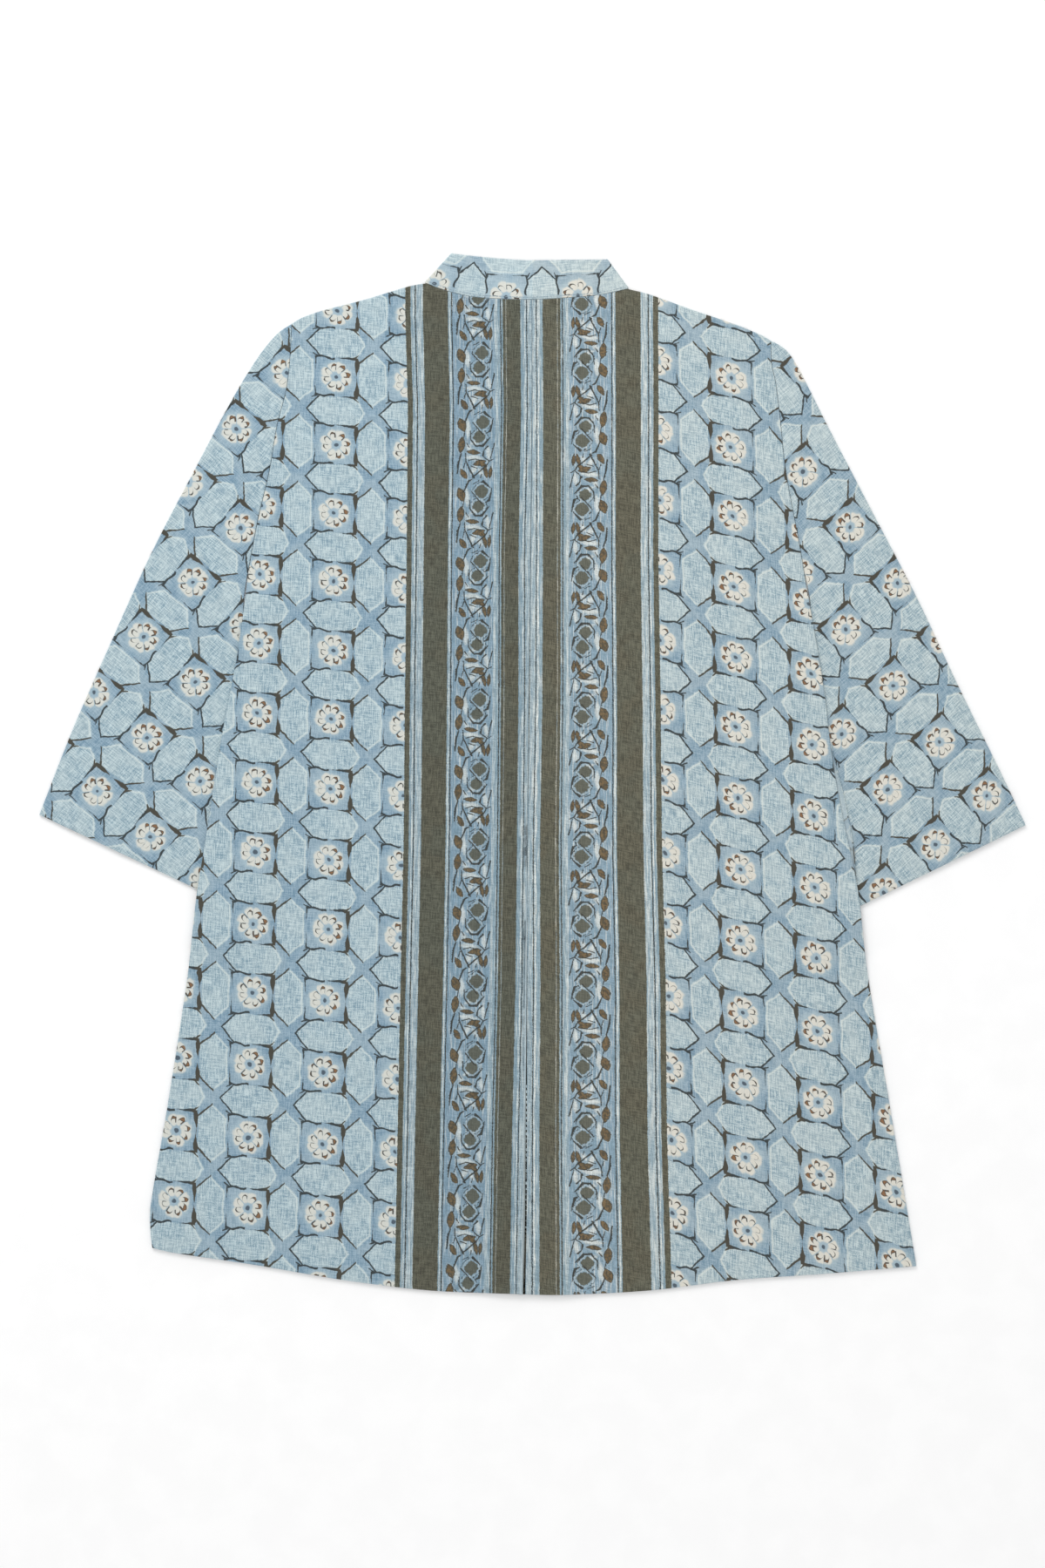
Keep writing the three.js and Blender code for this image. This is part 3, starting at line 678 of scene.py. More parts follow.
def trellis(paint, colours, threads, slub, faded):
    """The colour of a trellis of six-sided blocks with a rosette at each crossing."""
    place = paint.uv("Repeat")
    waver = paint.noise(paint.vector_maths("MULTIPLY", place, (REPEAT_ACROSS, REPEAT_ALONG, 0)), 0.09, 2.0)
    shift = paint.vector_maths("SUBTRACT", waver.outputs["Color"], (0.5, 0.5, 0.5))
    moved = paint.vector_maths("MULTIPLY_ADD", shift, (2.2 / REPEAT_ACROSS, 2.2 / REPEAT_ALONG, 0), place)
    across, along, _ = paint.apart(moved)
    column, row = paint.maths("ROUND", across), paint.maths("ROUND", along)
    x = (across - column) * REPEAT_ACROSS
    y = (along - row) * REPEAT_ALONG
    each = paint.node("ShaderNodeTexWhiteNoise", {"noise_dimensions": "2D"},
                      {"Vector": paint.together(column, row)})
    luck_a, luck_b, _ = paint.apart(each.outputs["Color"])
    ragged = paint.noise_value(threads, 0.34, 1.0) * 0.9 - 0.45
    a = abs(y)

    # Six-sided blocks: one pair beside each rosette, one pair above and below it
    beside = REPEAT_ACROSS / 2 - abs(x)
    slant_beside = (a + beside * 0.894 - 24.5) / 1.342
    block_beside = paint.most(beside - 12.3, slant_beside)
    above = REPEAT_ALONG / 2 - a
    slant_point = (above * 0.936 - x - 25.8) / 1.37
    slant_blunt = (above * 0.579 + x - 25.8) / 1.156
    block_above = paint.most(above - 12.6, slant_point, slant_blunt)
    block = paint.least(block_beside, block_above)
    in_block = paint.inside(block, 0.45)

    # Pale edges of the blocks
    pale_beside = paint.most(abs(block_beside + 1.3) - 0.55, x + 2)
    pale_above = paint.most(abs(slant_blunt + 1.4) - 0.6, above - 12.4, slant_point)
    pale = paint.inside(paint.least(pale_beside, pale_above), 0.5)

    # Dark lines
    point_line = paint.most(abs(slant_point) - 0.55, above - 13, x + 9)
    slant_line = paint.most(abs(slant_beside) - beside * 0.022 - 0.42, beside - 12.4, 0 - x)
    fat = paint.step(a, 0, 13) * 2.1 - paint.step(a, 13, 18) * 0.9
    wedge = paint.most(abs(x - 17.8) - fat + 0.1, a - 17.6)
    cross_wedge = paint.most(abs(a - 17.1) - (x - 4) * 0.1 + y * 0.014, x - 17.5)
    wave = paint.maths("SINE", x * 0.38) * 0.9 + 16.9
    wave_line = paint.most(abs(a - wave) - 0.72, abs(x + 9.6) - 8.2)
    corner_line = paint.most(abs(x + 18.2) - (a - 7) * 0.065, a - 17.5)
    corner = paint.together(x, a)
    spurs = paint.least(paint.stroke(corner, (15.6, 17.2), (19.6, 20.8), 0.9, 0.25),
                        paint.stroke(corner, (-16.6, 17.6), (-20.6, 19.6), 0.6, 0.3))
    ink = paint.least(point_line, slant_line, wedge, cross_wedge, wave_line, corner_line, spurs)
    ink = paint.inside(ink + ragged - 0.14, 0.3)

    # Rosette of eight petals
    centred = paint.together(x - luck_a * 1.6 + 0.8, y - luck_b * 1.6 + 0.8)
    r = paint.length(centred)
    rx, ry, _ = paint.apart(centred)
    turn = paint.maths("ARCTAN2", ry, rx) * (8 / (2 * math.pi))
    sector = paint.maths("FLOOR", turn)
    part = turn - sector - 0.5
    off_middle = abs(part) * 2
    squared = off_middle * off_middle
    blot = paint.noise_value(threads, 0.16, 1.0) * 3.4 - 1.7
    quarter = turn * 0.5
    corner_share = abs(quarter - paint.maths("ROUND", quarter)) * 2
    notch = corner_share ** 5
    rim = 13.5 - squared * 0.8 - notch * 1.5 + blot
    cream = paint.step(r - rim, 1.1, -1.3) * paint.step(r + blot * 0.7, 2.9, 5.6)
    gap = paint.inside((1 - off_middle) * r * 0.39 - 0.2 - notch * 0.5, 0.5) * (notch * 0.5 + 0.4)
    halo = paint.step(r + blot, 18, 12)
    hub = paint.step(r + blot, 5.4, 3.4)
    spot = paint.step(r + ragged + blot * 0.6, 2.2, 1.2)
    # Rust marks: a crescent near each petal's tip and a short stroke down one side of it
    mark_luck = paint.node("ShaderNodeTexWhiteNoise", {"noise_dimensions": "3D"}, {
        "Vector": paint.node("ShaderNodeCombineXYZ", None, {0: column, 1: row, 2: sector}).outputs[0]})
    mark_a, mark_b, _ = paint.apart(mark_luck.outputs["Color"])
    heavy = rx * 0.055 + mark_a * 0.8 + 0.4
    bend = part - mark_b * 0.2 - 0.08
    crescent = abs(r - 10.9 + bend * bend * 14) - (0.8 - abs(bend) * 1.85) * heavy * 1.5
    stroke = paint.most(abs((bend - 0.27) * r * 0.785) - heavy * 0.46, abs(r - 8.8) - mark_a * 1.5 - 1.0)
    hooks = paint.least(crescent, stroke) + ragged * 0.7
    rust = paint.inside(hooks - 0.15, 0.4)
    rust_tint = paint.mix(paint.inside(hooks + 0.5, 0.35), colours["ink"], colours["rust"])

    low = paint.mix(in_block, colours["ribbon_low"], colours["block_low"])
    high = paint.mix(in_block, colours["ribbon_high"], colours["block_high"])
    cloth = paint.mix(slub, low, high)
    wash = paint.step(paint.noise_value(threads, 0.05, 1.0), 0.4, 0.62)
    cloth = paint.mix(wash * (in_block * 0.04 + 0.15) + faded, cloth, colours["pale"])
    cloth = paint.mix(halo * (1 - in_block) * 0.6, cloth, colours["halo"])
    cloth = paint.mix(pale * 0.66, cloth, colours["pale"])
    cloth = paint.mix(paint.most(cream - gap, 0) * (slub * 0.15 + 0.85), cloth, colours["cream"])
    cloth = paint.mix(hub * 0.5, cloth, colours["hub"])
    cloth = paint.mix(spot, cloth, colours["spot"])
    cloth = paint.mix(rust * cream, cloth, rust_tint)
    ink_tint = paint.mix(paint.step(x, 12, 16) * 0.5, colours["ink"], colours["leaf"])
    return paint.mix(ink * (1 - cream) * 0.97, cloth, ink_tint)


# The border's stripes: where each ends (mm out from the seam) and its colour
INNER_STRIPES = [
    (-0.6, "olive"), (4.0, "milk"), (4.8, "ink"), (5.4, "sky"), (6.5, "white"), (9.8, "sky"),
    (21.9, "olive"), (22.6, "thread"), (24.9, "olive"), (26.2, "sky"), (27.1, "ink"), (29.3, "sky"),
    (32.0, "milk"), (34.0, "vine_ground"),
]
OUTER_STRIPES = [
    (67.9, "vine_ground"), (68.8, "ink"), (69.7, "sky"), (70.6, "white"), (71.5, "sky"),
    (92.9, "olive"), (98.9, "milk"), (99.8, "ink"), (100.4, "sky"), (101.4, "white"), (103.4, "sky"),
    (107.9, "olive"), (110.0, "sky"),
]
STRIPE_SOFTNESS = 0.14

# The border's leaves and discs in one repeat, as (out, along the cloth) in mm. A stroke has two ends and
# its half width at each, a leaf its middle, turn in degrees, length and width.
VINE_DISCS = [((43, 0), 6.0), ((45.7, -12.8), 5.4)]
VINE_LEAVES = [
    ((60.8, -2.4), 70, 13, 7.4), ((61, -19.4), 96, 14.5, 6.2), ((50.6, -26), 6, 12, 4.0),
    ((58.8, -45), 60, 11.5, 4.8), ((39.6, -43.2), 76, 12, 3.6), ((35.6, -43.4), 96, 11, 3.3),
    ((45, -35), -14, 12, 4.8), ((42.4, -36.6), 30, 9, 3.8),
]
VINE_STROKES = [
    ((61.2, -27), (63.4, -34), 0.6, 0.9), ((63.4, -34), (64.2, -44), 1.0, 0.6),
    ((57.4, -27), (57, -34), 0.5, 0.6), ((57.4, -33), (49.6, -48.6), 0.6, 0.85),
    ((50.8, -47.6), (38.5, -37), 0.8, 0.65), ((38.5, -37), (36.6, -33.5), 0.65, 0.55),
    ((36.6, -33.5), (41.8, -29.6), 0.55, 0.4), ((36.8, -33.8), (33, -32), 0.6, 0.4),
    ((35.8, -32), (32.6, -18.5), 0.4, 0.7), ((58.4, 0), (54.6, 9), 0.6, 0.9),
    ((54.6, 9), (50.8, 11.4), 0.9, 0.5), ((58.2, -8), (59.2, -13), 0.4, 0.5),
    ((57.4, -35), (59, -39.6), 0.5, 0.4), ((51.5, -0.5), (42.4, -10.6), 0.55, 0.55),
    ((42.6, -20.6), (36.4, -13.4), 1.2, 0.5), ((41.5, 8.4), (35.6, 3.2), 1.3, 0.4),
    ((34.6, -1.4), (36.4, -8), 0.7, 1.2), ((36.4, -8), (39.6, -9.6), 1.1, 0.4),
    ((56.4, -18.6), (54.2, -22), 0.6, 0.4), ((42.2, -28.6), (41.2, -24), 1.0, 0.4),
    ((41.2, -24), (38.2, -21), 0.5, 0.9), ((43.2, -45.5), (44, -48.8), 0.5, 0.4),
    ((53.4, -7.5), (53, -15), 0.45, 0.6), ((53, -15), (48.5, -20.6), 0.6, 0.8),
    ((48.5, -20.6), (42.6, -20.6), 0.8, 0.9), ((50.4, 6.6), (45.4, 9.2), 0.4, 0.4),
    ((54.8, -33.4), (49, -31.8), 0.5, 0.5), ((49, -31.8), (42.6, -33.4), 0.5, 0.4),
    ((52.6, -37.6), (47, -39.6), 0.5, 0.4), ((34, 2.6), (34.8, -1.6), 0.4, 0.5),
]
VINE_LIGHTS = [
    ((55.8, -5), 86, 16, 4.6), ((50.4, -30.6), 4, 15, 4.6), ((49.8, -40.4), 122, 11, 4.4),
    ((49, -17.4), -24, 9, 3.0), ((54.2, -23), 62, 9, 3.6), ((37.4, -26.4), 84, 12, 3.8),
    ((44, -43.4), 60, 8, 3.4), ((46.4, -31.6), 0, 9, 3),
]


def stripe_stops(stripes, colours, start, end):
    """Ramp stops for stripes with slightly soft edges, over distances from start to end."""
    stops = []
    place = start
    for edge, name in stripes:
        stops.append(((place + STRIPE_SOFTNESS - start) / (end - start), colours[name]))
        stops.append(((edge - STRIPE_SOFTNESS - start) / (end - start), colours[name]))
        place = edge
    return [(min(max(position, 0), 1), colour) for position, colour in stops]


def stripe_colour(paint, out, stripes, colours, start):
    end = stripes[-1][0]
    position = (out - start) / (end - start)
    stops = stripe_stops(stripes, colours, start, end)
    return paint.node("ShaderNodeValToRGB", {"stops": stops}, {0: position}).outputs[0]


def border(paint, colours, threads, slub, left):
    """The striped border with its leaves and discs: its colour and where it is."""
    place = paint.uv("Border")
    waver = paint.noise(place, 0.11, 2.0)
    shift = paint.vector_maths("SUBTRACT", waver.outputs["Color"], (0.5, 0.5, 0.5))
    place = paint.vector_maths("MULTIPLY_ADD", shift, (0.7, 1.6, 0), place)
    out, along, _ = paint.apart(place)
    ragged = paint.noise_value(threads, 0.9, 1.0) - 0.5
    out = out + ragged * 0.9
    inner = stripe_colour(paint, out, INNER_STRIPES, colours, -2.0)
    outer = stripe_colour(paint, out, OUTER_STRIPES, colours, 62.0)
    cloth = paint.mix(paint.step(out, 49.9, 50.1), inner, outer)
    light = paint.step(paint.dot(cloth, (0.3, 0.4, 0.3)), 0.2, 0.3)
    streaks = paint.noise_value(paint.vector_maths("MULTIPLY", place, (0.8, 0.035, 0)), 1.0, 2.0, 0.6)
    worn = paint.step(streaks + slub * 0.12, 0.66, 0.42) * light * 0.7
    cloth = paint.mix(worn, cloth, colours["block_low"])
    cloth = paint.mix(paint.step(streaks, 0.54, 0.7) * light * 0.6, cloth, colours["white"])
    strength = (slub * (0.8 - light * 0.4) + (light * 0.22 + 0.6)) * (1 - left * LEFT_BORDER_DEPTH)
    dull = paint.step(paint.noise_value(place, 0.03, 3.0), 0.42, 0.62)
    cloth = paint.mix((1 - light) * dull * 0.4, cloth, colours["earth"])

    repeat = paint.maths("ROUND", (along + 19) / REPEAT_ALONG)
    spot = paint.together(out, along - repeat * REPEAT_ALONG)
    lights = paint.nearest(paint.leaf(spot, *leaf) for leaf in VINE_LIGHTS)
    cloth = paint.mix(paint.step(lights + ragged * 3, 1.6, -1.6) * 0.8, cloth, colours["white"])
    discs = paint.nearest(paint.disc(spot, middle, radius) for middle, radius in VINE_DISCS)
    lumps = paint.noise_value(threads, 0.42, 1.0)
    discs = discs + lumps * 2.4 - 1.0
    cloth = paint.mix(paint.inside(abs(discs - 1.1) - 0.35, 0.5) * 0.6, cloth, colours["milk"])
    cloth = paint.mix(paint.inside(discs, 0.35) * 0.95, cloth, colours["olive"])
    outline = abs(discs - 2.5) - lumps * 1.2 + 0.42
    leaves = paint.nearest(paint.leaf(spot, *leaf) for leaf in VINE_LEAVES)
    cloth = paint.mix(paint.inside(abs(leaves - 1.0) - 0.4, 0.5) * 0.45, cloth, colours["milk"])
    leaf_tint = paint.mix(paint.step(lumps, 0.4, 0.62), colours["leaf"], colours["leaf_light"])
    cloth = paint.mix(paint.inside(leaves + ragged * 1.6, 0.3) * 0.94, cloth, leaf_tint)
    leaf_edge = abs(leaves + 0.1) - lumps * 1.1 + 0.32
    cloth = paint.mix(paint.inside(leaf_edge, 0.25) * 0.85, cloth, colours["vine_ink"])
    strokes = paint.nearest(paint.stroke(spot, *stroke) for stroke in VINE_STROKES)
    marks = paint.least(strokes + 0.05, outline)
    cloth = paint.mix(paint.inside(marks + ragged * 0.8, 0.25) * 0.95, cloth, colours["vine_ink"])
    grey = paint.node("ShaderNodeCombineXYZ", None, {0: strength, 1: strength, 2: strength}).outputs[0]
    cloth = paint.mix(1.0, cloth, grey, "MULTIPLY")
    return cloth, paint.step(out, 108.0, 107.7)


# The shirt's left half is made a little darker and bluer than its right one
LEFT_TINT = (0.925, 0.967, 1.0, 1)
LEFT_BORDER_DEPTH = 0.09
# How far the print is gone on the cloth's inside, and how far the band's is faded
INSIDE_WASH = 0.55
BAND_FADE = 0.16


def printed_cloth(name, colours, with_border, washed, faded):
    """Printed cotton: its trellis, its border where it has one, its slub and its fine weave."""
    paint = Paint(name)
    threads = paint.vector_maths("MULTIPLY", paint.uv("Repeat"), (REPEAT_ACROSS, REPEAT_ALONG, 0))
    slub, weave = cloth_threads(paint, threads)
    x, _, _ = paint.apart(paint.node("ShaderNodeTexCoord").outputs["Object"])
    left = paint.step(x, 0.0005, -0.0005)
    colour = trellis(paint, colours, threads, slub, faded)
    if with_border:
        stripes, where = border(paint, colours, threads, slub, left)
        colour = paint.mix(where, colour, stripes)
    colour = paint.mix(left, colour, LEFT_TINT, "MULTIPLY")
    if washed:
        colour = paint.mix(washed, colour, colours["reverse"])
    bump = paint.node("ShaderNodeBump", None, {
        "Strength": 0.35, "Distance": 0.0003, "Height": weave * 0.3 + slub * 0.7})
    finish = paint.node("ShaderNodeBsdfPrincipled", None, {
        "Base Color": colour, "Roughness": 0.86, "Specular IOR Level": 0.25, "Sheen Weight": 0.12,
        "Sheen Roughness": 0.45, "Normal": bump.outputs[0]})
    paint.node("ShaderNodeOutputMaterial", None, {0: finish.outputs[0]})
    return paint.material


def plain_finish(name, low, high, roughness, scale, bump_height, coat=0.0):
    """A finish of two mottled colours, such as button shell or thread."""
    paint = Paint(name)
    place = paint.node("ShaderNodeTexCoord").outputs["Object"]
    settings = {"noise_dimensions": "3D"}
    grain = paint.node("ShaderNodeTexNoise", settings, {"Vector": place, "Scale": scale, "Detail": 3.0})
    share = paint.step(Value(paint, grain.outputs[0]), 0.38, 0.64)
    bump = paint.node("ShaderNodeBump", None, {
        "Strength": 0.3, "Distance": bump_height, "Height": grain.outputs[0]})
    finish = paint.node("ShaderNodeBsdfPrincipled", None, {
        "Base Color": paint.mix(share, low, high), "Roughness": roughness, "Coat Weight": coat,
        "Normal": bump.outputs[0]})
    paint.node("ShaderNodeOutputMaterial", None, {0: finish.outputs[0]})
    return paint.material


# Settings

def colour_setting(name, description, *parts):
    return FloatVectorProperty(name=name, description=description, subtype="COLOR", size=3, min=0, max=1,
                               default=linear(*parts))


class ShirtSizes(PropertyGroup):
    """Sizes of the shirt's cloth."""

    cloth: FloatProperty(
        name="Cloth", description="Thickness of the cloth as it is seen at its edges", unit="LENGTH",
        default=0.0006, min=0.0002, max=0.0012)
    grid: FloatProperty(
        name="Grid", description="Spacing of the points over the cloth", unit="LENGTH",
        default=0.0042, min=0.002, max=0.02)
    button: FloatProperty(
        name="Button", description="Diameter of a button", unit="LENGTH", default=0.0115, min=0.008,
        max=0.02)
    stitch: FloatProperty(
        name="Stitch", description="Length of one stitch", unit="LENGTH", default=0.0024, min=0.001,
        max=0.006)


class PrintColours(PropertyGroup):
    """Colours of the print."""

    block_low: colour_setting("Block, dark", "Darker threads of the blocks", 126, 151, 164)
    block_high: colour_setting("Block, light", "Lighter threads of the blocks", 198, 212, 213)
    ribbon_low: colour_setting("Ribbon, dark", "Darker threads between the blocks", 112, 140, 158)
    ribbon_high: colour_setting("Ribbon, light", "Lighter threads between the blocks", 157, 178, 190)
    halo: colour_setting("Halo", "Pale cloth round a rosette", 172, 190, 196)
    pale: colour_setting("Pale edge", "Pale edges of the blocks", 212, 219, 214)
    cream: colour_setting("Petals", "Petals of a rosette", 218, 214, 202)
    hub: colour_setting("Rosette's middle", "Cloth in the middle of a rosette", 156, 177, 189)
    spot: colour_setting("Rosette's spot", "Dot in the middle of a rosette", 82, 94, 104)
    rust: colour_setting("Rust", "Marks on the petals", 136, 102, 74)
    ink: colour_setting("Ink", "Dark lines of the print", 54, 59, 59)
    olive: colour_setting("Olive", "Wide dark stripes and discs", 93, 93, 80)
    milk: colour_setting("Milk", "Soft pale stripes", 176, 188, 190)
    white: colour_setting("White", "Thin white stripes", 212, 216, 211)
    sky: colour_setting("Sky", "Light blue stripes", 144, 163, 171)
    thread: colour_setting("Thin stripe", "Thin pale line in the olive stripes", 150, 147, 133)
    vine_ground: colour_setting("Border ground", "Cloth under the leaves", 134, 157, 172)
    vine_ink: colour_setting("Border ink", "Lines of the leaves", 58, 58, 52)
    leaf: colour_setting("Leaf", "Brown of the leaves", 84, 72, 50)
    leaf_light: colour_setting("Leaf, light", "Lighter brown of the leaves", 116, 94, 60)
    earth: colour_setting("Olive, brown", "Browner patches of the wide dark stripes", 94, 88, 72)
    reverse: colour_setting("Reverse", "What the print fades to on the inside", 180, 195, 201)


class StageSettings(PropertyGroup):
    """Sizes and lights of the stage."""

    height: FloatProperty(
        name="Camera height", description="Height of the camera over the surface", unit="LENGTH",
        default=3.0, min=1, max=10)
    view_length: FloatProperty(
        name="View length", description="Length of the surface that the camera sees", unit="LENGTH",
        default=1.35, min=0.5, max=3)
    sky: FloatProperty(
        name="Surroundings", description="Brightness of the light from all round", default=0.88, min=0,
        max=3)
    lamp: FloatProperty(
        name="Lamp", description="Power of the soft lamp", unit="POWER", default=22, min=0, max=500)


def palette():
    colours = bpy.context.scene.shirt_colours
    return {key: tuple(getattr(colours, key)) for key in PrintColours.__annotations__}


def material(name, make):
    """The material of that name, made when it is first asked for."""
    return bpy.data.materials.get(name) or make()


def cloth_finish(kind, inside=False):
    """The finish of cloth that is "bordered", "trellis" or "band", or the washed-out one of its inside."""
    name = f"printed cotton, {kind}" + (", inside" if inside else "")
    washed = INSIDE_WASH if inside else 0.0
    faded = BAND_FADE if kind == "band" else 0.0
    return material(name, lambda: printed_cloth(name, palette(), kind == "bordered", washed, faded))


def sheet_measure(points, faces):
    """Half the area of a closed thin shell, in square metres."""
    a, b, c, d = (points[faces[:, k]] for k in range(4))
    return float(np.linalg.norm(np.cross(c - a, d - b), axis=1).sum() / 4) * MM * MM


# Pieces

# A cut or seamed edge rounds down by this much (mm). So does a side edge above the underarm, and below it
# the edge is a fold: the rounding changes over between these two heights.
SEAM_DROP = 0.5
SIDE_TO_SEAM = (UNDERARM_UP - 12, UNDERARM_UP + 4)
# Points along each side's neck seam
BACK_NECK_POINTS = 26
FRONT_NECK_POINTS = 30
# Turns of the points round a fold, between the two layers that it joins
FOLD_TURNS = np.linspace(0, math.pi, 9)[1:-1]


def dress(piece, node):
    """Puts a piece in its node's place, on the shirt's one body."""
    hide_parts(node)
    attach(piece, "root")


def body_panel(side_name, back):
    """One body panel as a thin closed shell with rounded edges, and its print's places."""
    side = SIDES[side_name]
    sizes = bpy.context.scene.shirt_sizes
    if back:
        name = "back_" + side_name
        neck = beside_band(*back_neck(side, BACK_NECK_POINTS))
        inner_edge = lambda up: line_at(BACK_SEAM, up) + SEAM_GAP / 2 * side["sign"]
    else:
        name = "front_" + side_name
        neck = beside_band(*front_neck(side, FRONT_NECK_POINTS))
        inner_edge = lambda up: np.full(np.shape(up), -LAP * side["sign"])
    neck[0, 0] = inner_edge(neck[0, 1])
    plan, across, along, heights = panel_grid(side, neck, inner_edge, not back, sizes.grid / MM)
    to_armhole = smooth(*SIDE_TO_SEAM, heights)
    side_radius = FOLD_RADIUS + to_armhole * (SEAM_DROP - FOLD_RADIUS)
    plan, outer_share = edge_loops(plan, 1, True, side_radius, EDGE_STEPS)
    plan, inner_share = edge_loops(plan, 1, False, SEAM_DROP, EDGE_STEPS)
    extra = len(EDGE_STEPS) - 1
    outer_share = np.pad(outer_share, (extra, 0), constant_values=1)
    across = np.pad(across, extra, constant_values=(0, 1))
    neck_columns = len(neck) + extra
    top_radius = np.where(np.arange(plan.shape[1]) < neck_columns, SEAM_DROP, FOLD_RADIUS)
    plan, top_share = edge_loops(plan, 0, True, top_radius, EDGE_STEPS)
    plan, hem_share = edge_loops(plan, 0, False, SEAM_DROP, EDGE_STEPS)
    top_share = np.pad(top_share, (extra, 0), constant_values=1)
    along = np.pad(along, extra, constant_values=(0, 1))
    side_radius = np.pad(side_radius, extra, mode="edge")
    x, up = plan[..., 0], plan[..., 1]
    drop = np.maximum(
        np.maximum(edge_drop(outer_share, 1) * side_radius[:, None], edge_drop(inner_share, SEAM_DROP)),
        np.maximum(edge_drop(top_share, 1)[:, None] * top_radius, edge_drop(hem_share, SEAM_DROP)[:, None]))
    if back:
        loft = (fade(BACK_LOFT_TO_SIDE, across) * smooth(*BACK_LOFT_FROM_HEM, along)[:, None]
                * fade(BACK_LOFT_TO_NECK, along)[:, None])
        height = back_height(side, x, up, loft) + CLOTH - drop
        repeats, out = repeat_places(name, plan), border_places(side_name, plan)
    else:
        height = front_height(side, x, up) + drop
        repeats, out = front_places(side_name, plan)
    points = np.concatenate([plan, height[..., None]], -1)
    points, faces, inside_faces = shell_from_grid(points, sizes.cloth / MM, back)
    layers = {"Repeat": np.concatenate([repeats.reshape(-1, 2)] * 2),
              "Border": np.concatenate([out.reshape(-1, 2)] * 2)}
    piece = mesh_object(name + "_cloth", points, faces, layers)
    assign(piece, cloth_finish("bordered"), cloth_finish("bordered", True), inside_faces)
    dress(piece, name)
    area = sheet_measure(points, faces)
    width = (side["side"][-1][1] + (0 if back else LAP)) * MM
    length = (side["shoulder"][0][1] - HEM_CENTRE_UP) * MM


class SHIRT_OT_back(Operator):
    """Make the two halves of the back"""

    bl_idname = "shirt.back"
    bl_label = "Back"

    def execute(self, context):
        for side_name in SIDES:
            body_panel(side_name, True)
        return {"FINISHED"}


class SHIRT_OT_front(Operator):
    """Make the two fronts, which lie under the back"""

    bl_idname = "shirt.front"
    bl_label = "Fronts"

    def execute(self, context):
        for side_name in SIDES:
            body_panel(side_name, False)
        return {"FINISHED"}


# A sleeve's edge at the armhole and cuff: its last rings, as shares of the length, and how far they pinch
SLEEVE_RIM = (0, 0.0006, 0.0015)
SLEEVE_PINCH = 0.35


